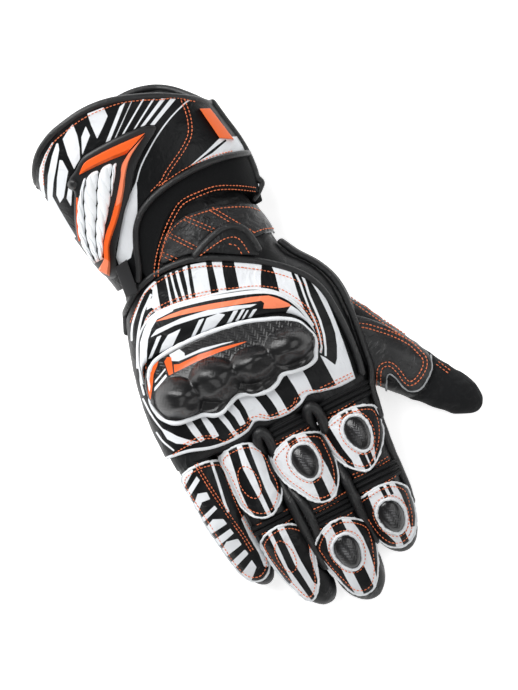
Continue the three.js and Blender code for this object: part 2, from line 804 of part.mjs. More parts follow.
function addKnuckleGuard() {
  const low = panelOff + panelThickness + panelOff;
  const [left, right] = [-80.5, 16];
  const shares = [0, 0.08, 0.25, 0.5, 0.75, 0.92, 1];
  const brim = (share) => 1 + 1.4 * Math.min(1, 12 * Math.min(share, 1 - share));
  const columns = steps(left, right, 18);
  const shell = (rise) =>
    columns.map((x) =>
      shares.map((share) => {
        const y = guardLow(x) + (guardHigh(x) - guardLow(x)) * share;
        return hand.above(x, y, low + rise(x, y, share));
      }),
    );
  addPiece(
    "knuckle_guard",
    slabBetween(shell((x, y, share) => brim(share) + knuckleRise(x, y)), shell(() => 0)),
    "carbon",
    ["back_panel"],
  );

  // The pad follows the guard's upper edge, one step away from it.
  const rows = rowsOf("outerX outerY innerX innerY", [
    [-80, 8, -79.5, 7],
    [-76.5, 20, -76, 15.5],
    [-70, 31.5, -68, 18.3],
    [-60, 38, -55, 18],
    [-47, 38.5, -41, 17.8],
    [-31, 35.5, -27, 16.6],
    [-14, 31, -12, 13.5],
    [0, 25.5, 0.5, 9.8],
    [10, 17.5, 10, 5.2],
    [16, 7, 16, -2.6],
    [18.2, -6, 17.8, -11],
  ]);
  const across = [0, 0.1, 0.5, 0.9, 1];
  const heights = [1, 2, 3, 2, 1];
  const sheet = (rise) =>
    rows.map((r) =>
      across.map((u, i) =>
        hand.above(
          r.outerX * (1 - u) + r.innerX * u,
          r.outerY * (1 - u) + r.innerY * u,
          low + rise(i),
        ),
      ),
    );
  addPiece(
    "knuckle_pad", slabBetween(sheet((i) => heights[i]), sheet(() => 0)), "print",
    ["back_panel", "knuckle_guard"],
  );
}

// Armour panels on the fingers, some with a carbon slider
const armours = [
  {
    name: "index_armour_base", finger: "index", centre: [12.5, -72], slider: [13.2, -70.5],
    outline: [
      [-4.2, -61], [3.7, -58], [12.9, -56.8], [21, -58], [28.3, -62], [28.8, -69], [26.1, -77],
      [20.4, -85], [12.2, -91], [6.3, -90.5], [-0.2, -84], [-3.8, -76], [-4.6, -68],
    ],
  },
  {
    name: "index_armour_tip", finger: "index", centre: [10, -120], slider: [10, -119.5],
    outline: [
      [-4.8, -105.5], [2.8, -103.4], [12.3, -102.8], [19.4, -105], [24, -110.5], [23.3, -120],
      [20.5, -129], [15.1, -136], [7.8, -138.5], [1.6, -136], [-2.5, -130], [-4.8, -121],
      [-5.2, -112],
    ],
  },
  {
    name: "middle_armour_base", finger: "middle", centre: [-20, -74], slider: [-19.8, -71],
    outline: [
      [-35.7, -62], [-28.2, -58], [-19.4, -56.4], [-11.8, -58], [-5, -62], [-4.2, -70],
      [-4.7, -79], [-7.6, -88], [-12.3, -94.5], [-18.2, -96.5], [-24.6, -94], [-29.9, -86],
      [-34.6, -77], [-36.4, -69],
    ],
  },
  {
    name: "middle_armour_tip", finger: "middle", centre: [-21, -128], slider: [-21.3, -127],
    outline: [
      [-36.2, -117], [-29.3, -111], [-20.5, -108.4], [-12.3, -111], [-4.7, -118], [-4.4, -126],
      [-7, -135], [-11.1, -144], [-16.5, -151], [-22.5, -153], [-28.5, -150], [-32, -142],
      [-35.4, -132], [-36.4, -123],
    ],
  },
  {
    name: "ring_armour_base", finger: "ring", centre: [-50, -68],
    outline: [
      [-60.8, -48.5], [-50.3, -46.8], [-41.8, -49.5], [-37.1, -57], [-37, -67], [-37.5, -77],
      [-42.3, -85], [-50.1, -89.5], [-57.4, -87], [-62, -80], [-62.6, -70], [-61.7, -58],
    ],
  },
  {
    name: "ring_armour_tip", finger: "ring", centre: [-51, -117],
    outline: [
      [-62, -101], [-52.5, -97.2], [-43.4, -99], [-37.5, -105], [-36.9, -114], [-40.3, -126],
      [-44.4, -136], [-49.6, -142], [-53.9, -141], [-57.7, -131], [-61.4, -120], [-62.9, -110],
    ],
  },
  {
    name: "little_panel", finger: "little", centre: [-76, -82],
    outline: [
      [-85.4, -50], [-78.9, -46.8], [-69.2, -47.2], [-61.8, -51], [-62.2, -62], [-62.8, -75],
      [-62.8, -90], [-61.8, -104], [-63.4, -114], [-70.1, -119.5], [-77.1, -117], [-80.8, -108],
      [-83, -95], [-84.8, -80], [-85.4, -65],
    ],
  },
];

function addFingerArmour() {
  const [low, high] = [armourOff, armourOff + armourThickness];
  for (const [i, a] of armours.entries()) {
    const loft = fingers[a.finger];
    const earlier = armours.slice(0, i).map((other) => other.name);
    addPiece(
      a.name,
      padOn(loft, {
        outline: a.outline, centre: a.centre, count: 16, rings: [0.5, 0.84, 1], low,
        crown: (r) => high - 1.1 * r ** 5,
      }),
      "print",
      [`${a.finger}_finger`, ...earlier, ...(a.name === "index_armour_base" ? ["side_welt"] : [])],
    );
    if (!a.slider) continue;
    addPiece(
      a.name.replace("armour", "slider"),
      padOn(loft, {
        outline: ellipseOutline(a.slider, ...sliderHalf),
        centre: a.slider, count: 12, rings: [0.55, 1], low: high + gap,
        crown: (r) => high + 1 + sliderRise * Math.sqrt(Math.max(0, 1 - r ** 2)),
      }),
      "carbon",
      [a.name],
    );
  }
  // Ribbed stretch leather over the joints
  const ribbed = rowsOf("name finger from to count", [
    ["index_ribs_base", "index", -55.4, -47, 3],
    ["index_ribs_middle", "index", -101.2, -93.4, 3],
    ["middle_ribs_base", "middle", -54.6, -47, 3],
    ["middle_ribs_middle", "middle", -106.8, -98.6, 3],
    ["ring_ribs_middle", "ring", -95.6, -91.6, 2],
  ]);
  for (const r of ribbed)
    addPiece(
      r.name,
      panelOn(fingers[r.finger], {
        angles: steps(0.8, Math.PI - 0.7, 5),
        lowEdge: () => r.from,
        highEdge: () => r.to,
        rows: r.count * 2,
        low: ribOff,
        high: (share) => ribOff + 0.5 + 0.9 * Math.abs(Math.sin(share * r.count * Math.PI)),
      }),
      "leather",
      [`${r.finger}_finger`],
    );
}

// The overlay on the thumb, in the thumb's own frame
function addThumbPatch() {
  const patch = padOn(thumb, {
    outline: [
      [5.4, -7], [8.8, -14], [10.6, -26], [11, -36], [10.2, -46], [9, -53.5], [6.5, -58.6],
      [1.5, -61.9], [-5.8, -62.6], [-11.9, -61], [-15.2, -57.2], [-14.9, -53], [-12.7, -47.2],
      [-11.9, -43.5], [-12.7, -42], [-14.4, -41.8], [-18.5, -43.4], [-19.6, -41], [-18, -33.5],
      [-11.2, -21.4], [-3.5, -12],
    ],
    centre: [0.5, -34.4], count: 28, rings: [0.5, 1], low: 1.2, crown: (r) => 2.7 - 0.3 * r,
  });
  addPiece(
    "thumb_patch", patch.applyMatrix4(thumbPlace), "leather",
    ["thumb", "hand_shell", "side_welt"],
  );
}

addHand();
addGauntlet();
addCuffGuard();
addTags();
addStrap();
addBackPanel();
addKnuckleGuard();
addFingerArmour();
addThumbPatch();

// The origin is under the middle of the glove, on the surface that it lies on.
const box = new THREE.Box3().setFromObject(glove);
const middle = box.getCenter(new THREE.Vector3());
glove.position.set(-middle.x, -middle.y, -box.min.z);

export default glove;
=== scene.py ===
import math

import bmesh
import bpy
import numpy as np
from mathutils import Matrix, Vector


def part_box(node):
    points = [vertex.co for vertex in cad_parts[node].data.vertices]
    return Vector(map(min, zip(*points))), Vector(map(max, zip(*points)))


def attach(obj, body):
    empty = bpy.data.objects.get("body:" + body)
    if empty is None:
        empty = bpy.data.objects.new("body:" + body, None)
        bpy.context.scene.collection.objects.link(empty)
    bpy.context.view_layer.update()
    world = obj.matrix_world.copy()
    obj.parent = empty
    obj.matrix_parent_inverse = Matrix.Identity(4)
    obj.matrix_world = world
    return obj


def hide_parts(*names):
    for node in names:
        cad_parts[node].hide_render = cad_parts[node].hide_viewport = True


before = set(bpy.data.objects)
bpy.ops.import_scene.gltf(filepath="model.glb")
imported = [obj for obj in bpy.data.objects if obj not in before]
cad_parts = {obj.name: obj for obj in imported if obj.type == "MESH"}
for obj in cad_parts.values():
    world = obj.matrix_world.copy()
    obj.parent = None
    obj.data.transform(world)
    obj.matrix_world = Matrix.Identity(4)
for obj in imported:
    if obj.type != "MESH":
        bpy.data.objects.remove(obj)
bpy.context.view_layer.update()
scene = bpy.context.scene
mm = 0.001

# The tables below are in mm in the frame the photo was measured in: +Y to the cuff, thumb at +X
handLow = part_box("hand_shell")[0]
shiftX = handLow.x / mm + 86
shiftY = handLow.y / mm + 45


# Smooth curve through the rows of a table, read at any value
def curveAt(x, v, at):
    inner = ((v[2:] - v[:-2]).T / (x[2:] - x[:-2])).T
    first = (v[1] - v[0]) / (x[1] - x[0])
    last = (v[-1] - v[-2]) / (x[-1] - x[-2])
    rise = np.concatenate([[first], inner, [last]])
    at = np.clip(at, x[0], x[-1])
    k = np.clip(np.searchsorted(x, at, side="right") - 1, 0, len(x) - 2)
    gap = x[k + 1] - x[k]
    t = (at - x[k]) / gap
    if v.ndim > 1:
        t, gap = t[..., None], gap[..., None]
    return (
        (2 * t**3 - 3 * t**2 + 1) * v[k]
        + (t**3 - 2 * t**2 + t) * gap * rise[k]
        + (3 * t**2 - 2 * t**3) * v[k + 1]
        + (t**3 - t**2) * gap * rise[k + 1]
    )


def smoothRead(line, x):
    return curveAt(line[:, 0], line[:, 1], x)


# A tube of superellipse sections, from rows of (y, left, right, top, bottom)
class Loft:
    def __init__(self, rows, topPower=2.2, bottomPower=2.6, tip=None):
        table = np.array(sorted(rows), float)
        self.y = table[:, 0]
        self.v = table[:, 1:]
        self.topPower = topPower
        self.bottomPower = bottomPower
        self.tip = tip

    def section(self, y, off=0.0):
        left, right, top, bottom = np.moveaxis(curveAt(self.y, self.v, y), -1, 0)
        share = 1.0
        if self.tip:
            start, end = self.tip
            reach = np.maximum(0, (start - y) / (start - end + off))
            share = np.sqrt(np.maximum(0, 1 - reach**2))
        x = (left + right) / 2
        z = (top + bottom) / 2
        return x, z, ((right - left) / 2 + off) * share, ((top - bottom) / 2 + off) * share

    def point(self, angle, y, off=0.0):
        angle, y, off = [np.asarray(v, float) for v in np.broadcast_arrays(angle, y, off)]
        x, z, wide, high = self.section(y, off)
        c = np.cos(angle)
        s = np.sin(angle)
        power = 2 / np.where(s >= 0, self.topPower, self.bottomPower)
        px = x + wide * np.sign(c) * np.abs(c) ** power
        pz = z + high * np.sign(s) * np.abs(s) ** power
        return np.stack([px, y, np.maximum(pz, np.maximum(0, -off))], -1)

    def angleAt(self, x, y, off=0.0, most=1.0):
        cx, _, wide, _ = self.section(np.asarray(y, float), off)
        share = np.clip((np.asarray(x, float) - cx) / np.maximum(wide, 1e-6), -most, most)
        return np.arccos(np.sign(share) * np.abs(share) ** (self.topPower / 2))

    def above(self, x, y, off=0.0, most=1.0):
        return self.point(self.angleAt(x, y, off, most), y, off)


hand = Loft([
    [96, -57, 15, 50, 5], [78, -60, 17, 51, 4.5], [66, -64, 19, 52, 4], [56, -66, 20.5, 52.5, 3.2],
    [46, -69.5, 21, 53, -1], [38, -73, 24, 53.5, -2], [30, -76, 29.5, 54, -2], [20, -79, 36, 55, -2],
    [8, -82, 39.5, 55.5, -2], [-5, -84.5, 39.5, 55.5, -1.5], [-20, -86, 38, 54.5, 0],
    [-34, -86, 36, 52, 4], [-46, -86, 34, 48.5, 9],
], 2.5, 3)
gauntlet = Loft([
    [162, -84.5, 23, 72, -2], [150, -84.5, 23.5, 71, -2], [135, -83.5, 24, 70, -2],
    [120, -81.5, 26, 68, -2], [105, -79, 28.5, 65, -2], [92, -77, 29, 62.5, -2],
    [80, -75, 27.5, 60.5, -2], [68, -71.5, 25, 58.5, -2], [58, -69.5, 24, 57, -2], [48, -68, 24, 56, -2],
], 2.2, 3)
index = Loft([
    [-40, -3.9, 32.5, 46.5, 11], [-52, -4, 30.5, 46, 13], [-70, -4.2, 27, 45, 15],
    [-85, -4.3, 25, 42, 13], [-100, -4.3, 24, 38, 9], [-115, -4.4, 22.8, 32.5, 4],
    [-128, -3.8, 21, 26.5, 0], [-143, -1.5, 19, 19, -1],
], tip=(-128, -142.5))
middle = Loft([
    [-40, -36, -4.6, 48, 11], [-55, -36.2, -4.8, 48, 14], [-75, -36.4, -5, 46.5, 15],
    [-92, -37, -5, 43, 12], [-108, -37, -5.1, 38, 8], [-124, -35.8, -5.4, 32, 3],
    [-140, -33.9, -6.5, 25, -1], [-158, -31, -8, 17, -1],
], tip=(-142, -158))
ring = Loft([
    [-40, -60.8, -37, 46.5, 11], [-55, -61.2, -37.4, 46.5, 14], [-72, -61.8, -37.6, 44.5, 14.5],
    [-88, -62, -37.8, 41, 12], [-104, -61.8, -37.8, 36, 7], [-120, -60.2, -36.7, 29.5, 2],
    [-134, -56.6, -35, 23, -1], [-149, -53, -33.5, 17, -1],
], tip=(-134, -149))
little = Loft([
    [-40, -85, -61.6, 43, 9.5], [-55, -85, -62, 41.5, 11], [-70, -84.6, -62.6, 38, 9.5],
    [-85, -83.4, -62.8, 33.5, 6], [-98, -81.4, -62.6, 28.5, 2], [-110, -79.4, -61.6, 22.5, -1],
    [-124, -77.4, -60.2, 16, -1],
], tip=(-110, -124))
thumb = Loft([
    [14, -22, 15, 33, 5], [-5, -23, 15.2, 33.5, 4], [-20, -22.8, 14, 33.2, 3],
    [-35, -21.6, 11.8, 32.2, 2], [-50, -19.9, 9.8, 30.6, 1], [-65, -17.9, 8.4, 28.2, 0],
    [-80, -15.6, 7.4, 25, -1], [-96, -13.5, 6, 21, -1],
], tip=(-81, -96.5))
thumbRoot = (30, -8)
thumbTurn = math.radians(34.75)


def fromThumb(points):
    x, y, z = np.moveaxis(points, -1, 0)
    c, s = math.cos(thumbTurn), math.sin(thumbTurn)
    return np.stack([thumbRoot[0] + x * c - y * s, thumbRoot[1] + x * s + y * c, z], -1)


def toThumb(x, y):
    c, s = math.cos(thumbTurn), math.sin(thumbTurn)
    dx, dy = x - thumbRoot[0], y - thumbRoot[1]
    return dx * c + dy * s, dy * c - dx * s


# Edge lines (x, y)
backRim = np.array([
    [-84.5, 129], [-82, 137.5], [-76, 145.5], [-66, 151.5], [-54, 154.5], [-40, 156], [-26, 154.5],
    [-12, 150], [0, 145], [10, 139.5], [17, 135], [24, 129],
], float)
palmRim = np.array([
    [-84.5, 129], [-76, 140], [-60, 149], [-40, 153.5], [-15, 155], [-2, 152.5], [8, 147],
    [16, 139], [24, 129],
], float)
archEdge = np.array([
    [-76, 60], [-64, 59.5], [-57, 60], [-53, 66], [-49, 77], [-44, 87], [-36, 94.5], [-22, 99.5],
    [-4, 101.3], [12, 100.5], [22, 98.5], [30, 96],
], float)
windowEdge = np.array([
    [-62, 57], [-50, 57.5], [-45, 62], [-38, 72], [-30, 80.5], [-22, 86], [-12, 88.5], [0, 86.8],
    [10, 83.3], [20, 78.5], [26, 73],
], float)
strapLow = np.array([
    [-46, 62], [-38, 61.5], [-28, 60.5], [-18, 57.5], [-8, 53.5], [2, 51], [12, 51.5], [25, 49.5],
], float)
strapHigh = np.array([
    [-46, 63], [-42, 66.5], [-36, 73], [-29, 77], [-20, 79.5], [-9, 79], [0, 77], [10, 73],
    [18, 68.5], [22, 63.5],
], float)
panelTop = np.array([
    [-85, 38], [-76, 42], [-70, 46], [-65, 50.5], [-58, 55], [-45, 58], [-30, 57], [-20, 54],
    [-10, 49], [0, 43], [10, 36], [20, 27], [26.5, 18], [29.5, 8], [30.5, 0],
], float)
panelBottom = np.array([
    [-86, -36], [-74, -38], [-62, -42], [-50, -43.5], [-40, -42.5], [-34, -39.5], [-28, -42],
    [-18, -44], [-8, -42.5], [-2, -39.5], [6, -41.5], [16, -43.5], [30, -43],
], float)
guardHigh = np.array([
    [-80.5, 4], [-78, 10], [-74, 14.3], [-66, 16.6], [-54, 16.6], [-40, 16.3], [-26, 15],
    [-12, 12], [0, 8.3], [8, 4.5], [13, -1], [16, -9],
], float)
guardLow = np.array([
    [-80.5, -10], [-78, -16.5], [-74, -21], [-68, -22.5], [-58, -23], [-49, -26.5], [-37, -23],
    [-29, -26], [-19, -28], [-9, -23.6], [0, -24.6], [6, -25.2], [12, -21.5], [16, -14],
], float)


def smoothStep(t):
    t = np.clip(t, 0, 1)
    return t * t * (3 - 2 * t)


# Shaping helpers


def place(points):
    return (np.asarray(points, float) + [shiftX, shiftY, 0]) * mm


def gridFaces(rows, columns, start=0, closed=False):
    i, j = np.meshgrid(np.arange(rows - 1), np.arange(columns if closed else columns - 1), indexing="ij")
    k = (j + 1) % columns
    corners = [i * columns + j, i * columns + k, (i + 1) * columns + k, (i + 1) * columns + j]
    return np.stack(corners, -1).reshape(-1, 4) + start


def rimOf(rows, columns):
    return np.concatenate([
        np.arange(columns),
        np.arange(1, rows) * columns + columns - 1,
        (rows - 1) * columns + np.arange(columns - 2, -1, -1),
        np.arange(rows - 2, 0, -1) * columns,
    ])


# Closed slab: full grid on top, every fifth row and column below
def slabMesh(top, bottom, skip=5):
    rows, columns = top.shape[:2]
    count = rows * columns
    keepRows = np.unique(np.append(np.arange(0, rows, skip), rows - 1))
    keepColumns = np.unique(np.append(np.arange(0, columns, skip), columns - 1))
    under = bottom[np.ix_(keepRows, keepColumns)]
    faces = gridFaces(rows, columns).tolist()
    faces += gridFaces(len(keepRows), len(keepColumns), count)[:, ::-1].tolist()
    rim = rimOf(rows, columns)
    kept = np.isin(rim // columns, keepRows) & np.isin(rim % columns, keepColumns)
    stops = np.append(np.nonzero(kept)[0], len(rim))
    low = rimOf(len(keepRows), len(keepColumns)) + count
    around = np.append(rim, rim[0])
    for k, (start, end) in enumerate(zip(stops[:-1], stops[1:])):
        faces.append(around[start:end + 1][::-1].tolist() + [int(low[k]), int(low[(k + 1) % len(low)])])
    return np.concatenate([top.reshape(-1, 3), under.reshape(-1, 3)]), faces


def edgeDistance(grid):
    down = np.cumsum(np.linalg.norm(np.diff(grid, axis=0), axis=2), 0)
    along = np.cumsum(np.linalg.norm(np.diff(grid, axis=1), axis=2), 1)
    low = np.vstack([np.zeros((1, grid.shape[1])), down])
    left = np.hstack([np.zeros((grid.shape[0], 1)), along])
    return np.minimum.reduce([low, low[-1:] - low, left, left[:, -1:] - left])


# Drop of a rounded edge at a distance from the edge
def rolled(distance, radius):
    d = np.clip(distance, 0, radius)
    return radius - np.sqrt(radius**2 - (radius - d) ** 2)


# Shares from 0 to 1, closer together at both ends
def spread(count, edge):
    lead = edge * np.array([0, 0.06, 0.22, 0.5])
    return np.concatenate([lead, np.linspace(edge, 1 - edge, count), (1 - lead)[::-1]])


def fullTurn(count):
    return np.linspace(0, 2 * math.pi, count, endpoint=False)


def runOf(points):
    return np.concatenate([[0], np.cumsum(np.linalg.norm(np.diff(points, axis=0), axis=1))])


def evenAngles(loft, y, start, end, shares):
    angle = np.linspace(start, end, 600)
    points = loft.point(angle, np.full(600, float(y)))
    run = runOf(points)
    return np.interp(shares * run[-1], run, angle)


# y of an edge line at each angle of a loft
def lineOnLoft(loft, line, angle, lift=0.0):
    y = np.full_like(angle, line[:, 1].mean())
    for _ in range(40):
        y = 0.5 * y + 0.5 * (smoothRead(line, loft.point(angle, y)[..., 0]) + lift)
    return y


# Smooth random ripple about as long as size
def waves(points, size, seed):
    count = 9
    random = np.random.default_rng(seed)
    total = np.zeros(points.shape[:-1])
    for _ in range(count):
        way = random.normal(size=3)
        way /= np.linalg.norm(way)
        bend = random.normal(size=3) / size * 0.7
        phase = random.uniform(0, 2 * math.pi)
        length = size * random.uniform(0.7, 1.6)
        swing = 1.3 * np.sin(points @ bend + phase * 2)
        total += np.sin(points @ way * 2 * math.pi / length + phase + swing)
    return total / math.sqrt(count)


def smoothPath(points, step=1.0, closed=False):
    points = np.asarray(points, float)
    if closed:
        points = np.concatenate([points[-1:], points, points[:2]])
    else:
        points = np.concatenate([2 * points[:1] - points[1:2], points, 2 * points[-1:] - points[-2:-1]])
    pieces = []
    for k in range(1, len(points) - 2):
        a, b, c, d = points[k - 1:k + 3]
        count = max(2, int(np.linalg.norm(c - b) / step * 2))
        t = np.linspace(0, 1, count, endpoint=False)[:, None]
        pieces.append(0.5 * (2 * b + (c - a) * t + (2 * a - 5 * b + 4 * c - d) * t**2
                             + (3 * b - a - 3 * c + d) * t**3))
    path = np.concatenate(pieces + [points[-2:-1]])
    run = runOf(path)
    count = max(2, int(round(run[-1] / step)) + 1)
    at = np.linspace(0, run[-1], count)
    path = np.stack([np.interp(at, run, path[:, k]) for k in range(path.shape[1])], -1)
    return path[:-1] if closed else path


def unit(v):
    return v / np.maximum(np.linalg.norm(v, axis=-1, keepdims=True), 1e-9)


def tubeMesh(path, radius, sides=10, closed=False, up=(0, 0, 1)):
    path = np.asarray(path, float)
    radius = np.broadcast_to(np.asarray(radius, float), (len(path),)).copy()
    if closed:
        tangent = unit(np.roll(path, -1, 0) - np.roll(path, 1, 0))
    else:
        tangent = unit(np.gradient(path, axis=0))
        ends = np.array([[0.98, 0.2], [0.8, 0.62], [0.42, 0.9]])
        first = path[0] - tangent[0] * ends[:, :1] * radius[0]
        last = path[-1] + tangent[-1] * ends[::-1, :1] * radius[-1]
        path = np.concatenate([first, path, last])
        radius = np.concatenate([ends[:, 1] * radius[0], radius, ends[::-1, 1] * radius[-1]])
        tangent = np.concatenate([np.repeat(tangent[:1], 3, 0), tangent, np.repeat(tangent[-1:], 3, 0)])
    up = np.broadcast_to(np.asarray(up, float), path.shape)
    first = unit(up - tangent * (up * tangent).sum(-1, keepdims=True))
    second = np.cross(tangent, first)
    turn = fullTurn(sides)
    turn = turn[None, :, None]
    circle = first[:, None] * np.cos(turn) + second[:, None] * np.sin(turn)
    points = (path[:, None] + circle * radius[:, None, None]).reshape(-1, 3)
    rows = len(path)
    faces = gridFaces(rows + 1 if closed else rows, sides, closed=True)
    if closed:
        return points, (faces % len(points)).tolist()
    caps = [list(range(sides))[::-1], list(range((rows - 1) * sides, rows * sides))]
    return points, faces.tolist() + caps


def joined(parts):
    points, faces, start = [], [], 0
    for some, corners in parts:
        points.append(some)
        faces += [[k + start for k in face] for face in corners]
        start += len(some)
    return np.concatenate(points), faces


def makeMesh(name, points, faces, values=None, sharp=42):
    mesh = bpy.data.meshes.new(name)
    mesh.from_pydata(place(points).tolist(), [], faces)
    mesh.calc_loop_triangles()
    corners = np.empty(len(mesh.loop_triangles) * 3, int)
    mesh.loop_triangles.foreach_get("vertices", corners)
    p = place(points)[corners.reshape(-1, 3)]
    if np.einsum("ij,ij->i", p[:, 0], np.cross(p[:, 1], p[:, 2])).sum() < 0:
        mesh.flip_normals()
    mesh.shade_smooth()
    mesh.set_sharp_from_angle(angle=math.radians(sharp))
    for label, data in (values or {}).items():
        layer = mesh.attributes.new(label, "FLOAT", "POINT")
        layer.data.foreach_set("value", np.ascontiguousarray(data, dtype=np.float32).ravel())
    return mesh


def newObject(name, data):
    obj = bpy.data.objects.new(name, data)
    scene.collection.objects.link(obj)
    return obj


def addObject(mesh, material, nodes=()):
    obj = newObject(mesh.name, mesh)
    if not mesh.materials:
        mesh.materials.append(material)
    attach(obj, "root")
    if nodes:
        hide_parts(*nodes)
    return obj


def addPiece(name, shape, material, nodes=(), values=None, sharp=42):
    return addObject(makeMesh(name, shape[0], shape[1], values, sharp), material, nodes)


# Printed shapes: signed distances in mm, above 0 inside


def farFrom(p, starts, ends):
    best = np.full(len(p), 1e9)
    for a, b in zip(starts, ends):
        ab = b - a
        t = np.clip(((p - a) @ ab) / max(ab @ ab, 1e-12), 0, 1)
        best = np.minimum(best, np.linalg.norm(p - a - t[:, None] * ab, axis=1))
    return best


def inside(p, outline):
    starts = np.asarray(outline, float)
    ends = np.roll(starts, -1, 0)
    odd = np.zeros(len(p), bool)
    for a, b in zip(starts, ends):
        if a[1] != b[1]:
            crosses = (a[1] > p[:, 1]) != (b[1] > p[:, 1])
            at = a[0] + (p[:, 1] - a[1]) * (b[0] - a[0]) / (b[1] - a[1])
            odd ^= crosses & (p[:, 0] < at)
    best = farFrom(p, starts, ends)
    return np.where(odd, best, -best)


def bar(top, low, topY, lowY):
    return [(top[0], topY), (top[1], topY), (low[1], lowY), (low[0], lowY)]


def stroke(p, path, width):
    path = smoothPath(path, 1.0)
    return width / 2 - farFrom(p, path[:-1], path[1:])


def printOf(p, shapes=(), strokes=(), cuts=()):
    ink = np.full(len(p), -3.0)
    for outline in shapes:
        ink = np.maximum(ink, inside(p, outline))
    for path, width in strokes:
        ink = np.maximum(ink, stroke(p, path, width))
    for outline in cuts:
        ink = np.minimum(ink, -inside(p, outline))
    return ink


# Shader helpers


def node(tree, kind, inputs=None, **settings):
    made = tree.nodes.new(kind)
    for key, value in settings.items():
        setattr(made, key, value)
    for key, value in (inputs or {}).items():
        socket = made.inputs[key]
        if isinstance(value, bpy.types.NodeSocket):
            tree.links.new(value, socket)
        else:
            socket.default_value = value
    return made


def wire(tree, kind, inputs=None, **settings):
    return node(tree, kind, inputs, **settings).outputs[0]


def calc(tree, operation, *values):
    return wire(tree, "ShaderNodeMath", dict(enumerate(values)), operation=operation)


def bump(tree, height, distance, strength=1.0, below=None):
    given = {"Strength": strength, "Distance": distance, "Height": height}
    if below is not None:
        given["Normal"] = below
    return wire(tree, "ShaderNodeBump", given)


def mixed(tree, share, first, second):
    return node(tree, "ShaderNodeMix", {0: share, 6: first, 7: second}, data_type="RGBA").outputs[2]


def group(name, inputs, outputs):
    tree = bpy.data.node_groups.new(name, "ShaderNodeTree")
    for label, kind, value in inputs:
        socket = tree.interface.new_socket(label, in_out="INPUT", socket_type="NodeSocket" + kind)
        socket.default_value = value
    for label, kind in outputs:
        tree.interface.new_socket(label, in_out="OUTPUT", socket_type="NodeSocket" + kind)
    return tree, tree.nodes.new("NodeGroupInput").outputs, tree.nodes.new("NodeGroupOutput").inputs


def leatherGrain():
    tree, given, result = group(
        "Leather Grain",
        [("Cell", "Float", 0.9), ("Grain", "Float", 0.05), ("Crease", "Float", 0.4),
         ("Crease Size", "Float", 9.0)],
        [("Normal", "Vector"), ("Crease", "Float")],
    )
    where = node(tree, "ShaderNodeTexCoord").outputs["Object"]
    inMm = wire(tree, "ShaderNodeVectorMath", {0: where, 1: (1000, 1000, 1000)}, operation="MULTIPLY")
    cellScale = calc(tree, "DIVIDE", 1.0, given["Cell"])
    cells = node(tree, "ShaderNodeTexVoronoi", {"Vector": inMm, "Scale": cellScale}, feature="F1")
    cells = cells.outputs["Distance"]
    creaseScale = calc(tree, "DIVIDE", 1.0, given["Crease Size"])
    warp = wire(tree, "ShaderNodeTexNoise", {"Vector": inMm, "Scale": creaseScale, "Detail": 4.0,
                                             "Roughness": 0.55, "Distortion": 1.1})
    fold = calc(tree, "ABSOLUTE", calc(tree, "SUBTRACT", warp, 0.5))
    fold = wire(tree, "ShaderNodeMapRange", {0: fold, 1: 0.0, 2: 0.24, 3: 0.0, 4: 1.0},
                interpolation_type="SMOOTHSTEP")
    grainDepth = calc(tree, "MULTIPLY", given["Grain"], 0.001)
    creaseDepth = calc(tree, "MULTIPLY", given["Crease"], 0.001)
    soft = bump(tree, warp, creaseDepth, below=bump(tree, fold, creaseDepth))
    tree.links.new(bump(tree, cells, grainDepth, below=soft), result["Normal"])
    tree.links.new(fold, result["Crease"])
    return tree


def weave():
    tree, given, result = group(
        "Weave", [("Rib", "Float", 1.4), ("Depth", "Float", 0.2), ("Along", "Float", 0.0)],
        [("Normal", "Vector"), ("Shade", "Float")],
    )
    where = node(tree, "ShaderNodeTexCoord").outputs["Object"]
    split = node(tree, "ShaderNodeSeparateXYZ", {0: where}).outputs
    across = wire(tree, "ShaderNodeMix", {"Factor": given["Along"], "A": split[1], "B": split[0]})
    rate = calc(tree, "DIVIDE", 2000 * math.pi, given["Rib"])
    ribs = calc(tree, "SINE", calc(tree, "MULTIPLY", across, rate))
    other = wire(tree, "ShaderNodeMix", {"Factor": given["Along"], "A": split[0], "B": split[1]})
    knit = calc(tree, "SINE", calc(tree, "MULTIPLY", other, 2000 * math.pi / 0.8))
    both = calc(tree, "MULTIPLY_ADD", knit, 0.25, ribs)
    depth = calc(tree, "MULTIPLY", given["Depth"], 0.001)
    # painted shade: the rib grooves get a lower value, following the rib bump
    shade = wire(tree, "ShaderNodeMapRange", {0: ribs, 1: -1.0, 2: 1.0, 3: 0.55, 4: 1.0})
    tree.links.new(bump(tree, both, depth), result["Normal"])
    tree.links.new(shade, result["Shade"])
    return tree


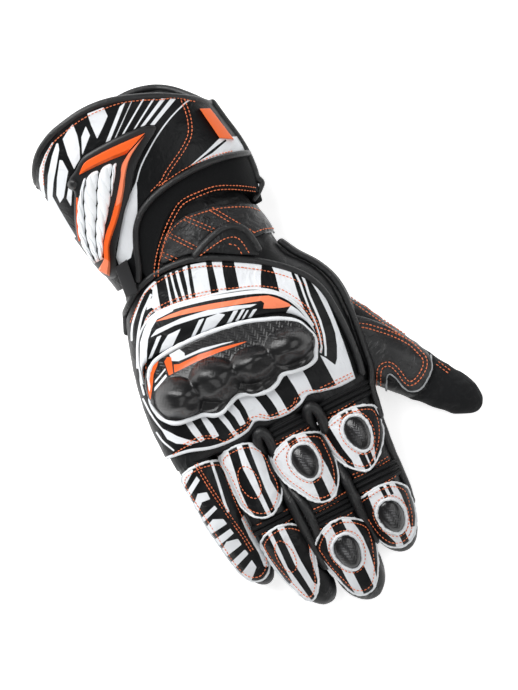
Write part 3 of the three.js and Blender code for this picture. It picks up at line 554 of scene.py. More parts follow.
def twill():
    tree, given, result = group("Carbon Twill", [("Tow", "Float", 1.05), ("Shown", "Float", 1.0)],
                                [("Sheen", "Float"), ("Normal", "Vector")])
    where = node(tree, "ShaderNodeTexCoord").outputs["Object"]
    scale = calc(tree, "DIVIDE", 1000.0, given["Tow"])
    turned = wire(tree, "ShaderNodeVectorRotate", {"Vector": where, "Angle": 0.6}, rotation_type="Z_AXIS")
    sized = wire(tree, "ShaderNodeVectorMath", {0: turned, "Scale": scale}, operation="SCALE")
    cell = wire(tree, "ShaderNodeVectorMath", {0: sized}, operation="FLOOR")
    cx, cy, _ = node(tree, "ShaderNodeSeparateXYZ", {0: cell}).outputs
    step = calc(tree, "FLOORED_MODULO", calc(tree, "ADD", cx, cy), 4.0)
    over = calc(tree, "LESS_THAN", step, 1.5)  # each tow runs over two and under two
    rest = wire(tree, "ShaderNodeVectorMath", {0: sized}, operation="FRACTION")
    fx, fy, _ = node(tree, "ShaderNodeSeparateXYZ", {0: rest}).outputs
    along = wire(tree, "ShaderNodeMix", {"Factor": over, "A": fx, "B": fy})
    hump = calc(tree, "SINE", calc(tree, "MULTIPLY", along, math.pi))
    sheen = calc(tree, "MULTIPLY", calc(tree, "MULTIPLY_ADD", over, 0.55, 0.25), hump)
    sheen = calc(tree, "MULTIPLY", sheen, given["Shown"])
    tree.links.new(sheen, result["Sheen"])
    tree.links.new(bump(tree, hump, 0.0003, given["Shown"]), result["Normal"])
    return tree


grainTree = leatherGrain()
weaveTree = weave()
twillTree = twill()


def material(name, colour, roughness, **extra):
    made = bpy.data.materials.new(name)
    made.use_nodes = True
    tree = made.node_tree
    shader = tree.nodes["Principled BSDF"]
    shader.inputs["Base Color"].default_value = (*colour, 1)
    shader.inputs["Roughness"].default_value = roughness
    for key, value in extra.items():
        shader.inputs[key.replace("_", " ")].default_value = value
    return made, tree, shader


def useGroup(tree, source, **values):
    made = node(tree, "ShaderNodeGroup", node_tree=source)
    for key, value in values.items():
        made.inputs[key.replace("_", " ")].default_value = value
    return made.outputs


def leather(name, colour, roughness, grain=0.05, crease=0.35, size=9.0, coat=0.0, shine=0.3):
    made, tree, shader = material(name, colour, roughness, Coat_Weight=coat, Coat_Roughness=0.25,
                                  Specular_IOR_Level=shine)
    out = useGroup(tree, grainTree, Grain=grain, Crease=crease, Crease_Size=size)
    tree.links.new(out["Normal"], shader.inputs["Normal"])
    low = wire(tree, "ShaderNodeMapRange", {0: out["Crease"], 3: roughness + 0.2, 4: roughness})
    tree.links.new(low, shader.inputs["Roughness"])
    return made


def markOver(tree, colour, marks):
    for label, tint in marks:
        value = node(tree, "ShaderNodeAttribute", attribute_name=label).outputs["Fac"]
        mask = wire(tree, "ShaderNodeMapRange", {0: value, 1: 0.01, 2: 0.2}, interpolation_type="SMOOTHSTEP")
        colour = mixed(tree, mask, colour, (*tint, 1))
    return colour


def printed(name, ground, marks, roughness, grain, crease, size=10.0):
    made, tree, shader = material(name, ground, roughness, Specular_IOR_Level=0.18)
    out = useGroup(tree, grainTree, Grain=grain, Crease=crease, Crease_Size=size)
    tree.links.new(out["Normal"], shader.inputs["Normal"])
    tree.links.new(markOver(tree, (*ground, 1), marks), shader.inputs["Base Color"])
    return made


def woven(name, colour, roughness, rib, depth, along):
    made, tree, shader = material(name, colour, roughness, Specular_IOR_Level=0.2)
    out = useGroup(tree, weaveTree, Rib=rib, Depth=depth, Along=along)
    tree.links.new(out["Normal"], shader.inputs["Normal"])
    # painted groove shade: the fabric colour is darkened to about 0.73 of itself in the rib grooves
    grooveShadedColour = mixed(tree, out["Shade"], (*[c * 0.4 for c in colour], 1), (*colour, 1))
    tree.links.new(grooveShadedColour, shader.inputs["Base Color"])
    return made


black = (0.0046, 0.005, 0.0056)
white = (0.74, 0.76, 0.785)
orange = (0.84, 0.125, 0.018)
salmon = (0.88, 0.235, 0.115)
inks = [("ink", white), ("orange", orange), ("pale", salmon)]
leatherBlack = leather("Black Leather", black, 0.36, grain=0.06, crease=0.36, size=13.0, coat=0.08)
leatherSoft = leather("Soft Folded Leather", (0.0052, 0.0055, 0.0062), 0.3, grain=0.07, crease=0.6,
                      size=9.0, coat=0.2, shine=0.5)
leatherPalm = leather("Palm Leather", (0.013, 0.0135, 0.014), 0.6, grain=0.08, crease=0.4, size=10.0)
suede = leather("Suede", (0.0075, 0.008, 0.0088), 0.8, grain=0.1, crease=0.2, size=7.0)
printLeather = printed("Printed Leather", black, inks, 0.38, 0.05, 0.3, 14.0)
ribbedFabric = woven("Ribbed Stretch", (0.008, 0.0083, 0.009), 0.6, 1.5, 0.3, 0.0)
neoprene = woven("Neoprene Jersey", (0.0042, 0.0046, 0.0052), 0.85, 0.7, 0.05, 0.0)
rubberBlack = material("Moulded Black", (0.0075, 0.0078, 0.0085), 0.42)[0]
rubberOrange = printed("Moulded Orange", (0.83, 0.12, 0.02), inks, 0.42, 0.02, 0.0)
rubberWhite = material("Moulded White", (0.80, 0.82, 0.84), 0.45)[0]
weltBlack = leather("Piping Leather", (0.005, 0.0054, 0.006), 0.34, grain=0.05, crease=0.18, size=5.0,
                    coat=0.1, shine=0.5)
cutEdge = material("Cut White Edge", (0.74, 0.76, 0.78), 0.7)[0]
cutGrey = material("Cut Grey Edge", (0.32, 0.33, 0.34), 0.7)[0]
tagOrange = material("Orange Tag", (0.86, 0.14, 0.02), 0.55)[0]
tagBlack = material("Black Tag", (0.008, 0.008, 0.009), 0.6)[0]
threadOrange = material("Orange Thread", (0.76, 0.185, 0.068), 0.6)[0]


def carbonMaterial(name, tow, bright, roughness, coat, gloss, plain):
    made, tree, shader = material(name, (0.02, 0.021, 0.023), roughness, Coat_Weight=coat,
                                  Coat_Roughness=gloss, Specular_IOR_Level=0.35)
    out = useGroup(tree, twillTree, Tow=tow)
    smooth = node(tree, "ShaderNodeAttribute", attribute_name="smooth").outputs["Fac"]
    tree.links.new(calc(tree, "SUBTRACT", 1.0, smooth), tree.nodes["Group"].inputs["Shown"])
    colour = mixed(tree, out["Sheen"], (0.0045, 0.0047, 0.0052, 1), (bright, bright, bright * 1.05, 1))
    colour = mixed(tree, smooth, colour, (plain, plain, plain * 1.06, 1))
    tree.links.new(markOver(tree, colour, inks), shader.inputs["Base Color"])
    tree.links.new(out["Normal"], shader.inputs["Normal"])
    return made


carbonPlain = carbonMaterial("Carbon Twill", 1.35, 0.13, 0.28, 0.4, 0.16, 0.006)
carbonGuard = carbonMaterial("Smoked Carbon Twill", 1.6, 0.03, 0.38, 0.3, 0.08, 0.007)


# Leather hand, fingers and thumb, one hollow skin


def loftTube(loft, start, end, rows, columns, toWorld=None):
    y = np.linspace(start, end, rows)
    if loft.tip:
        near = np.linspace(0, 1, 14)[1:]
        tipEnd = loft.tip[1]
        rounded = loft.tip[0] + (tipEnd - loft.tip[0]) * np.sin(near * math.pi / 2)
        y = np.concatenate([np.linspace(start, loft.tip[0], rows), rounded])
    angle = fullTurn(columns)
    points = loft.point(angle[None], y[:, None])
    if toWorld:
        points = toWorld(points)
    count = len(y)
    faces = gridFaces(count, columns, closed=True).tolist()
    faces.append(list(range(columns))[::-1])
    faces.append(list(range((count - 1) * columns, count * columns)))
    return points.reshape(-1, 3), faces


def bakedMesh(obj, name):
    depsgraph = bpy.context.evaluated_depsgraph_get()
    mesh = bpy.data.meshes.new_from_object(obj.evaluated_get(depsgraph))
    mesh.name = name
    old = obj.data
    bpy.data.objects.remove(obj)
    bpy.data.meshes.remove(old)
    return mesh


skinSettings = {
    "voxel": 1.75, "smooth": 5, "wall": 2.2, "open": 88.0, "root": -38.0, "fingerFrom": -34,
    "broadWave": 0.16, "fineWave": 0.07, "wristFold": 0.9, "thumbFold": 0.4,
}


def readAll(items, name):
    flat = np.empty(len(items) * 3)
    items.foreach_get(name, flat)
    return flat.reshape(-1, 3)


def fusedShell(parts, openAt):
    fused = bmesh.new()
    for points, faces in parts:
        tube = makeMesh("tube", points, faces)
        fused.from_mesh(tube)
        bpy.data.meshes.remove(tube)
    whole = newObject("skin", bpy.data.meshes.new("skin"))
    fused.to_mesh(whole.data)
    fused.free()
    remesh = whole.modifiers.new("Remesh", "REMESH")
    remesh.mode = "VOXEL"
    remesh.voxel_size = skinSettings["voxel"] * mm
    even = whole.modifiers.new("Smooth", "SMOOTH")
    even.factor = 0.5
    even.iterations = skinSettings["smooth"]
    mesh = bakedMesh(whole, "skin")
    p = readAll(mesh.vertices, "co") / mm - [shiftX, shiftY, 0]
    p = wrinkled(p, readAll(mesh.vertex_normals, "vector"))
    mesh.vertices.foreach_set("co", place(p).ravel())
    cut = bmesh.new()
    cut.from_mesh(mesh)
    limit = (openAt + shiftY) * mm
    gone = [face for face in cut.faces if face.calc_center_median().y > limit]
    bmesh.ops.delete(cut, geom=gone, context="FACES")
    cut.to_mesh(mesh)
    cut.free()
    shell = newObject("skin", mesh)
    wall = shell.modifiers.new("Wall", "SOLIDIFY")
    wall.thickness = skinSettings["wall"] * mm
    wall.offset = -1
    return bakedMesh(shell, "skin")


def wrinkled(p, normal):
    c = skinSettings
    x, y, z = p.T
    nearThumb = smoothStep((x - 38) / 8) * smoothStep((8 - y) / 10)
    wrist = smoothStep((y - 34) / 14) * (1 - nearThumb)
    lift = c["broadWave"] * waves(p, 22, 3) + c["fineWave"] * waves(p, 8, 5)
    folds = c["wristFold"] - np.abs(waves(p * [0.45, 1.0, 0.8], 13, 11))
    lift += wrist * smoothStep((z - 2) / 6) * folds
    lift += nearThumb * c["thumbFold"] * (0.8 - np.abs(waves(p * [0.8, 1.0, 0.8], 14, 21)))
    p = p + normal * (lift * np.where(z < 1.5, 0.1, 1))[:, None]  # hardly any where it lies on the table
    p[:, 2] = np.maximum(p[:, 2], 0)
    return p


def addSkin():
    c = skinSettings
    fingerTube = lambda loft: loftTube(loft, c["fingerFrom"], 0, 60, 72)
    hands = [loftTube(hand, 96, -45.5, 70, 120), fingerTube(index), fingerTube(ring),
             loftTube(thumb, 10, 0, 50, 72, fromThumb)]
    both = bmesh.new()
    both.from_mesh(fusedShell(hands, c["open"]))
    both.from_mesh(fusedShell([fingerTube(middle), fingerTube(little)], c["root"]))
    mesh = bpy.data.meshes.new("leather_skin")
    both.to_mesh(mesh)
    both.free()
    for some in (leatherBlack, suede, leatherPalm):
        mesh.materials.append(some)
    centre = readAll(mesh.polygons, "center") / mm - [shiftX, shiftY, 0]
    facing = readAll(mesh.polygons, "normal")
    tx, ty = toThumb(centre[:, 0], centre[:, 1])
    tip = (ty < -58 + 6 * np.sin(tx / 6)) & (centre[:, 0] > 40)
    palm = (facing[:, 2] < -0.35) & ~tip
    mesh.polygons.foreach_set("material_index", np.where(tip, 1, np.where(palm, 2, 0)).astype(np.int32))
    mesh.shade_smooth()
    mesh.set_sharp_from_angle(angle=math.radians(60))
    addObject(mesh, leatherBlack,
              ("hand_shell", "index_finger", "middle_finger", "ring_finger", "little_finger", "thumb"))
    print("skin", len(mesh.polygons), "faces")


addSkin()


# Sheets, pads and strips laid on the lofts


def loftSheet(loft, angles, lowY, highY, shares, low, high, roll=0.9, lift=lambda q: 0 * q[..., 0]):
    y = lowY + (highY - lowY) * shares[:, None]
    flat = loft.point(angles[None], y, high)
    distance = edgeDistance(flat)
    offset = high - rolled(distance, roll) + lift(flat) * smoothStep(distance / 4)
    return loft.point(angles[None], y, offset), loft.point(angles[None], y, low)


# Creases of a pad, fading towards its rim
def creases(depth, size, seed, power):
    flat = lambda x, y: np.stack([x, y, 0 * x], -1)
    return lambda x, y, share: depth * waves(flat(x, y), size, seed) * (1 - np.asarray(share) ** power)


# Pad of rings that shrink from the outline to its centre
def padMesh(outline, centre, surface, low, high, crown=0.0, roll=0.9, rings=26, step=0.7,
            lift=lambda x, y, share: 0 * share):
    curve = smoothPath(outline, step, closed=True)
    count = len(curve)
    centre = np.asarray(centre, float)
    reach = np.linalg.norm(curve - centre, axis=1)
    inner = np.linspace(1, 0.04, rings)
    size = roll / reach.mean()
    rim = 1 - size * np.array([0, 0.06, 0.25, 0.55])
    share = np.concatenate([rim, inner[inner < 1 - size * 0.8]])
    plan = centre + (curve - centre)[None] * share[:, None, None]
    distance = (1 - share)[:, None] * reach[None]
    offset = high + crown * (1 - share[:, None] ** 2) - rolled(distance, roll)
    offset = offset + lift(plan[..., 0], plan[..., 1], share[:, None] + 0 * distance)
    top = surface(plan[..., 0], plan[..., 1], offset)
    below = centre + (curve - centre)[None] * np.array([1, 0.6, 0.2])[:, None, None]
    bottom = surface(below[..., 0], below[..., 1], low)
    peakOff = high + crown + float(lift(centre[0], centre[1], np.float64(0)))
    peaks = np.stack([surface(centre[0], centre[1], peakOff), surface(centre[0], centre[1], low)])
    rows = len(share)
    start = rows * count
    faces = gridFaces(rows, count, closed=True).tolist()
    faces += gridFaces(3, count, start, closed=True)[:, ::-1].tolist()
    j = np.arange(count)
    k = (j + 1) % count
    faces += np.stack([k, j, start + j, start + k], -1).tolist()
    last = (rows - 1) * count
    lastLow = start + 2 * count
    peak = start + 3 * count
    faces += np.stack([last + j, last + k, np.full(count, peak)], -1).tolist()
    faces += np.stack([lastLow + k, lastLow + j, np.full(count, peak + 1)], -1).tolist()
    return np.concatenate([top.reshape(-1, 3), bottom.reshape(-1, 3), peaks]), faces


# Strip between two paths, with a height profile across it
def stripMesh(first, second, surface, low, profile, along=120, across=24):
    a = smoothPath(first, 0.4)
    b = smoothPath(second, 0.4)
    length = 0.4 * len(a)
    at = spread(along, 1.2 / length)
    a = np.stack([np.interp(at * (len(a) - 1), np.arange(len(a)), a[:, k]) for k in range(2)], -1)
    b = np.stack([np.interp(at * (len(b) - 1), np.arange(len(b)), b[:, k]) for k in range(2)], -1)
    wide = np.linalg.norm(a - b, axis=1).mean()
    t = spread(across, min(0.2, 0.8 / wide))
    plan = a[None] * (1 - t)[:, None, None] + b[None] * t[:, None, None]
    x, y = plan[..., 0], plan[..., 1]
    offset = profile(t[:, None], at[None]) - rolled(np.minimum(at, 1 - at) * length, 0.8)[None]
    return slabMesh(surface(x, y, np.maximum(offset, low + 0.2)), surface(x, y, low))


def onHand(x, y, off):
    return hand.above(x, y, off)


def onGauntlet(x, y, off):
    return gauntlet.above(x, y, off)


def onThumb(x, y, off):
    tx, ty = toThumb(np.asarray(x, float), np.asarray(y, float))
    return fromThumb(thumb.above(tx, ty, off))


def rollOn(surface, path, off, radius, sides=12, step=1.0):
    path = smoothPath(path, step)
    return tubeMesh(surface(path[:, 0], path[:, 1], off), radius, sides)


stitchRows = {"cuff": [], "back": [], "fingers": [], "thumb": []}


def stitch(region, surface, path, off, closed=False):
    flat = smoothPath(path, 0.8, closed)
    line = surface(flat[:, 0], flat[:, 1], off)
    stitchRows[region].append(np.concatenate([line, line[:1]]) if closed else line)


def sideways(path, gap):
    path = smoothPath(path, 1.0)
    way = unit(np.gradient(path, axis=0))
    return path + np.stack([-way[:, 1], way[:, 0]], -1) * gap


def doubleStitch(region, surface, path, off, gap=1.0):
    stitch(region, surface, sideways(path, gap), off)
    stitch(region, surface, sideways(path, -gap), off)


# Cuff

leftSeam = 1.12 * math.pi
cuffSettings = {
    "rows": 170, "columns": 300, "wall": 2.6, "edgeRoll": 0.8, "ripple": 0.22, "fineRipple": 0.07,
    "windowRipple": 0.3, "archPiping": 1.8, "binding": 2.0, "sideSeam": 2.3,
}
cuffPrint = [
    [(-82.5, 124.5), (-82.3, 129), (-80.5, 134.5), (-77, 140), (-71, 145.2), (-64, 149.4), (-63.4, 148.6),
     (-69, 144.6), (-73.5, 140.3), (-77, 135), (-80, 128.5), (-81.3, 124.5)],
    [(-81.8, 121), (-79.9, 125.5), (-75, 134), (-68, 142.5), (-62.5, 147.7), (-61.3, 147.3),
     (-62.5, 143.8), (-68, 136.5), (-73.5, 129.5), (-77.7, 122.8), (-77.5, 115), (-76.9, 105), (-76.3, 97),
     (-78.2, 97), (-80, 110)],
    [(-75.9, 117.5), (-75.6, 122.5), (-71, 130.5), (-65, 138.9), (-63.6, 137.8), (-63.5, 131),
     (-72.3, 119.4)],
    [(-63.5, 128.6), (-65.8, 121.5), (-71.2, 112.8), (-71.4, 118.2)],
    [(-60.3, 130.3), (-59.9, 139), (-58.3, 148.2), (-52.4, 151.8), (-49.3, 153), (-50, 146), (-52, 139.5),
     (-54.6, 134)],
    [(-53, 134.8), (-43.7, 143), (-43.4, 149), (-48.6, 144.4), (-50.7, 139.8)],
    [(-41.3, 139.3), (-40.8, 148), (-39.8, 154.5), (-30, 153.5), (-30.2, 148), (-35, 144)],
    [(-38.2, 135.5), (-35, 135.5), (-17.5, 150.8), (-22, 149.8)],
    [(-32.8, 135.3), (-31.6, 135.3), (-13.8, 149.6), (-15, 149.6)],
    [(-28.4, 135.3), (-26.3, 135.3), (-7, 147.8), (-9, 147.8)],
    [(-21.5, 134.9), (-19.6, 134.9), (-2, 145.2), (-4.4, 145.2)],
    [(-17.4, 134.5), (-14.2, 134.1), (4, 142.8), (1, 143.8)],
    [(-11.8, 133.2), (-9.5, 131.9), (9.2, 140.2), (6.4, 141.8)],
    [(-32, 109.6), (-43.4, 100.6), (-53.3, 88.1), (-61.8, 76.8), (-62.4, 72), (-54.5, 72.6), (-49.6, 78.4),
     (-45.2, 84.4), (-41, 91), (-37.4, 98), (-34.4, 104)],
    [(-3, 103), (10, 106.5), (19, 109.5), (30, 106), (32, 97), (20, 99), (10, 101.6)],
]
whiteLine = [(15, 136), (10, 135), (0, 131.5), (-10, 126.5), (-20, 120), (-27, 114.6), (-32.6, 108.6)]
cuffCut = [(0, 103), (12, 105.4), (22, 107.4), (22, 106.5), (12, 104)]
cuffSeam = [(11, 139), (10, 130), (8, 123), (5, 118), (0, 114), (-5, 111), (-15, 105.5), (-20, 102),
            (-27, 99.5)]
rimStitch = [(-79, 131), (-74, 141), (-65, 148), (-55, 151), (-46, 152.6), (-38, 153), (-30, 152.5),
             (-20, 151), (-10, 147.5), (0, 143), (8, 140), (16, 134)]
seamFoot = [(29.2, 77.4), (27.6, 75), (24.6, 72.4), (21, 70.6)]


def addCuff():
    c = cuffSettings
    angles = evenAngles(gauntlet, 110, 0, leftSeam, spread(c["columns"], 0.004))
    low = np.where(angles > math.pi, 60, lineOnLoft(gauntlet, archEdge, angles))
    high = lineOnLoft(gauntlet, backRim, angles)
    high = np.where(angles > math.pi, lineOnLoft(gauntlet, palmRim, angles), high)
    fold = lambda q: c["ripple"] * waves(q, 34, 31) + c["fineRipple"] * waves(q, 13, 33)
    rows = spread(c["rows"], 0.01)
    top, bottom = loftSheet(gauntlet, angles, low, high, rows, -c["wall"], 0, c["edgeRoll"], fold)
    shape = slabMesh(top, bottom)
    ink = printOf(shape[0][:, :2], cuffPrint, [(whiteLine, 1.0)], [cuffCut])
    outer = top[..., 0].size
    ink[outer:] = -1
    ink[:outer] = np.where(np.tile(angles, len(top)) > math.pi, -1.0, ink[:outer])
    addPiece("cuff_back", shape, printLeather, ["gauntlet_back"], values={"ink": ink})

    window = evenAngles(gauntlet, 80, 0, float(gauntlet.angleAt(-53.0, 66.0)), spread(90, 0.01))
    low = lineOnLoft(gauntlet, windowEdge, window)
    high = lineOnLoft(gauntlet, archEdge, window, -0.4)
    slack = lambda q: c["windowRipple"] * waves(q, 26, 41)
    high = np.maximum(high, low + 0.6)
    top, bottom = loftSheet(gauntlet, window, low, high, spread(40, 0.02), -c["wall"], -0.2, 0.6, slack)
    addPiece("stretch_window", slabMesh(top, bottom), neoprene, ["stretch_panel"])

    under = evenAngles(gauntlet, 110, leftSeam + 0.008, 2 * math.pi - 0.002, spread(130, 0.01))
    x = gauntlet.point(under, np.full(len(under), 70.0))[:, 0]
    low = 60 + 8 * smoothStep(x / 22)
    high = lineOnLoft(gauntlet, palmRim, under)
    top, bottom = loftSheet(gauntlet, under, low, high, spread(60, 0.01), -c["wall"], 0, c["edgeRoll"])
    addPiece("cuff_palm", slabMesh(top, bottom), leatherPalm, ["gauntlet_palm"])

    angle = np.linspace(0.05, float(gauntlet.angleAt(-56.0, 61.0)), 130)
    y = lineOnLoft(gauntlet, archEdge, angle, -1.0)
    arch = tubeMesh(gauntlet.point(angle, y, 0.8), c["archPiping"], 12, up=(0, 1, 0))
    addPiece("arch_piping", arch, weltBlack, ["arch_welt"])
    for name, line, start in (("back_binding", backRim, 0.0), ("palm_binding", palmRim, math.pi)):
        angle = evenAngles(gauntlet, 140, start, start + math.pi, np.linspace(0.004, 0.996, 150))
        y = lineOnLoft(gauntlet, line, angle, 0.6)
        path = gauntlet.point(angle, y, -1.2)
        path[:, 2] = np.maximum(path[:, 2], c["binding"])
        rim = tubeMesh(path, c["binding"], 12, up=(0, 1, 0))
        addPiece(name + "_edge", rim, weltBlack, [name])
    y = np.linspace(129, 80, 50)
    down = gauntlet.point(np.full(50, 0.05), y, 0.1)
    bend = [(*point, down[-1, 2] + k) for k, point in enumerate(seamFoot)]
    path = smoothPath(np.concatenate([down[::4], bend]), 1.0)
    seam = tubeMesh(path, c["sideSeam"] - 1.2 * smoothStep((82 - path[:, 1]) / 10), 12)
    addPiece("side_seam_piping", seam, weltBlack, ["side_binding"])
    stitch("cuff", onGauntlet, rimStitch, 0.15)
    doubleStitch("cuff", onGauntlet, cuffSeam, 0.2)
    stitch("cuff", onGauntlet, archEdge[7:-1] + [0, 1.6], 0.2)
    print("cuff")


addCuff()


# Guard on the cuff

guardSettings = {
    "base": {"low": 0.3, "high": 2.6, "crown": 0.4, "roll": 1.6, "rings": 30, "step": 0.9},
    "knob": {"low": 0.4, "high": 3.0, "crown": 1.6, "roll": 1.4, "rings": 10, "step": 0.8},
    "middle": (-52, 106), "knobAt": (-64.6, 123.3), "knobRadius": 3.1,
    "bar": 2.9, "barRise": 2.3, "trim": 0.55,
}
guardOutline = [
    (-66, 119), (-67.4, 123.5), (-64.5, 127.2), (-60, 129.5), (-55, 133), (-50, 134.8), (-36, 135.4),
    (-20, 134.6), (-11.5, 132.6), (-9.2, 130.6), (-12, 128), (-18, 124.5), (-25, 119.5), (-30, 115),
    (-34, 110.2), (-40, 102.8), (-45, 98), (-50, 92), (-56, 85.3), (-61, 78.6), (-63.5, 73.5),
    (-65.5, 67.5), (-69.5, 67.5), (-72.5, 71.5), (-74.6, 79), (-75.8, 87), (-76, 95.5), (-73.3, 104.5),
    (-69.8, 112),
]
topBar = (
    [(-58.9, 126.8), (-53.3, 130.9), (-45, 131.5), (-35, 131.4), (-25, 130.9), (-16, 130.4)],
    [(-58.7, 126.3), (-52, 126.3), (-46, 126.1), (-40, 125.7), (-35, 125.2), (-30.5, 124.8)],
)
sideBar = (
    [(-30, 124.2), (-35.8, 120.2), (-39.2, 115), (-43, 110), (-47.2, 104.8), (-51, 100.6), (-56, 95.2),
     (-60.3, 91.4), (-64, 87), (-66.6, 82.6), (-68.4, 78.8), (-74, 75)],
    [(-16.3, 129.6), (-29.5, 122), (-36, 114.8), (-39.6, 109.3), (-43.2, 104.4), (-47.2, 99.4), (-51.2, 95),
     (-56.3, 90), (-60.6, 85.8), (-63.2, 82), (-66, 75.6), (-69.7, 69)],
)
paleParts = [
    [(-15, 131), (-31, 125), (-38, 121), (-44.5, 109), (-49, 101.5), (-42, 103), (-34, 114), (-28, 121)],
    [(-76, 76), (-67.6, 79.2), (-64.5, 74), (-69.5, 67)],
]
padLeft = [(79.6, -74.6), (86, -75.8), (94, -75.4), (102, -73), (109.5, -69.2), (115.8, -64.8),
           (121, -60.5), (124, -58)]
padRight = [(80.4, -67.8), (84.6, -65.4), (91, -61.4), (97.8, -56.4), (106, -49.5), (114.6, -43),
            (122.3, -37.5), (124, -36.4)]
guardTrim = [(-66, 115.4), (-69.9, 108), (-73.4, 100.6), (-75.6, 94.4)]
padTop = [(-60.5, 120.6), (-57, 123.2), (-50, 124), (-42, 123.9), (-36.5, 122)]
# shares of the width: inner and outer side of each roll at the top, then at the foot
ropes = [(-0.14, 0.12, 0.0, 0.25), (0.12, 0.49, 0.25, 0.61), (0.49, 0.87, 0.61, 1.0), (0.87, 1.2, 1.0, 1.2)]
ropeSettings = {
    "top": 124.5, "foot": 79.2, "pitch": 7.4, "twist": 0.85, "low": 2.9, "crown": 2.0, "groove": 1.1,
    "scallop": 0.5, "gap": 0.12,
}


def guardRopes():
    c = ropeSettings
    left, right, upper = np.array(padLeft, float), np.array(padRight, float), np.array(padTop, float)
    parts = []
    for k, (topLow, topHigh, endLow, endHigh) in enumerate(ropes):
        y = np.linspace(c["top"], c["foot"], 230)
        down = smoothStep((120 - y) / 20)
        a, b = smoothRead(left, y), smoothRead(right, y)
        low = a + (b - a) * np.clip(topLow + (endLow - topLow) * down, 0, 1)
        high = a + (b - a) * np.clip(topHigh + (endHigh - topHigh) * down, 0, 1)
        turns = (125 - y) / c["pitch"] + 0.41 * k
        bite = lambda side: 1 - np.abs(np.sin(math.pi * (turns - c["twist"] * side))) ** 0.5
        low = low + c["gap"] + c["scallop"] * bite(-1)
        high = high - c["gap"] - c["scallop"] * bite(1)
        middle = (low + high) / 2
        under = smoothRead(upper, middle) + 0.4 - y
        dome = np.sqrt(np.clip(under / 2.4, 0, 1) * (2 - np.clip(under / 2.4, 0, 1)))
        low, high = middle + (low - middle) * dome, middle + (high - middle) * dome
        keep = high - low > 0.6
        y, low, high, turns = y[keep], low[keep], high[keep], turns[keep]
        s = spread(26, 0.05)[None]
        across = low[:, None] * (1 - s) + high[:, None] * s
        strand = np.abs(np.sin(math.pi * (turns[:, None] - c["twist"] * (2 * s - 1))))
        roll = np.sqrt(np.clip(1 - (2 * s - 1) ** 2, 0, 1))
        row = np.arange(len(y))
        ends = np.clip(np.minimum(row, row[::-1])[:, None] / 8, 0, 1) ** 0.5
        offset = c["low"] + (c["crown"] * roll ** 0.7 - c["groove"] * (1 - strand ** 0.5)) * ends
        plan = np.broadcast_to(y[:, None], across.shape)
        top = gauntlet.above(across, plan, np.maximum(offset, 2.5))
        parts.append(slabMesh(top, gauntlet.above(across, plan, 2.2)))
    return joined(parts)


def addGuard():
    c = guardSettings
    shape = padMesh(guardOutline, c["middle"], onGauntlet, **c["base"])
    turn = fullTurn(16)
    knob = np.stack([np.cos(turn), np.sin(turn)], -1) * c["knobRadius"] + c["knobAt"]
    knobShape = padMesh(knob, c["knobAt"], onGauntlet, **c["knob"])
    addPiece("cuff_guard_frame", joined([shape, knobShape]), rubberBlack, ["guard_base"])
    ramp = lambda t: np.clip(np.minimum(t / 0.1, (1 - t) / 0.24), 0, 1)
    wedge = lambda t, s: c["bar"] + c["barRise"] * ramp(t) + 0 * s
    for side, edges, along in (("top", topBar, 70), ("side", sideBar, 150)):
        shape = stripMesh(*edges, onGauntlet, 2.4, wedge, along, 22)
        pale = printOf(shape[0][:, :2], paleParts)
        addPiece("cuff_guard_" + side + "_bar", shape, rubberOrange,
                 ["guard_" + side + "_bar"], values={"pale": pale}, sharp=30)
    addPiece("cuff_guard_segments", guardRopes(), rubberWhite,
             ["guard_roll_" + str(k) for k in range(1, 5)], sharp=80)
    trim = rollOn(onGauntlet, guardTrim, 3.0, c["trim"], 8)
    addPiece("cuff_guard_trim", trim, rubberOrange)
    print("cuff guard")


addGuard()


def addTag(name, tag, cloth, nodeName):
    a, b, c, d = [np.array(corner, float) for corner in tag["corners"]]
    s = spread(10, 0.06)[:, None, None]
    t = spread(8, 0.08)[None, :, None]
    plan = (a * (1 - t) + b * t) * (1 - s) + (d * (1 - t) + c * t) * s
    x, y = plan[..., 0], plan[..., 1]
    distance = edgeDistance(gauntlet.above(x, y, tag["high"]))
    top = gauntlet.above(x, y, tag["high"] - rolled(distance, 0.5))
    addPiece(name, slabMesh(top, gauntlet.above(x, y, tag["low"]), 1), cloth, [nodeName])


sideTag = {"corners": [(16.9, 129), (22.3, 126.6), (26.2, 105.5), (19.4, 109.5)], "low": 0.3, "high": 1.9}
wristTag = {"corners": [(-65, 72), (-57, 73), (-59.5, 54), (-67, 54.5)], "low": 1.2, "high": 3.3}
addTag("orange_side_tag", sideTag, tagOrange, "side_tag")
addTag("black_wrist_tag", wristTag, tagBlack, "wrist_tag")
print("tags")


# Wrist strap and tab

strapSettings = {
    "thickness": 2.6, "crumple": 0.22, "fineCrumple": 0.1, "piping": 2.1, "rowGap": 1.05, "cut": 0.6,
    "tab": {"low": 2.8, "high": 4.4, "crown": 0.9, "roll": 1.2, "rings": 22, "step": 0.8},
}
strapCut = [(9, 53), (17, 52), (25, 49.5)]
strapRim = [(-40, 65), (-35, 70.6), (-28, 75.8), (-20, 78.2), (-10, 77.4), (0, 75.4), (10, 71.6),
            (17, 67.8), (21, 64)]
strapStitches = [
    [(-38, 66.5), (-31.5, 58.5)], [(-30.4, 75), (-20, 60.8)],
    [(-17.6, 78.2), (-5.6, 64)], [(-2.2, 76), (11.6, 54.4)],
]
windowStitch = [(24, 75.4), (15, 81), (5, 85.6), (-5, 87), (-15, 87), (-22, 83.4), (-30, 77.2),
                (-36, 71.6), (-41, 66), (-44.6, 61), (-46.4, 57.6)]
tabStitches = [
    [(-19, 56.4), (-11, 57.8), (-3, 58.4), (2.4, 56.4), (4.4, 52), (5, 46)],
    [(-2, 54.4), (0.6, 52), (1.2, 47.4)],
]
tabOutline = [
    (-22, 58), (-15, 61), (-7, 63.3), (0, 63.8), (5, 62), (8.5, 58), (10, 52), (10.5, 45), (9, 42),
    (4, 44.5), (-4, 49), (-12, 54), (-18, 57),
]


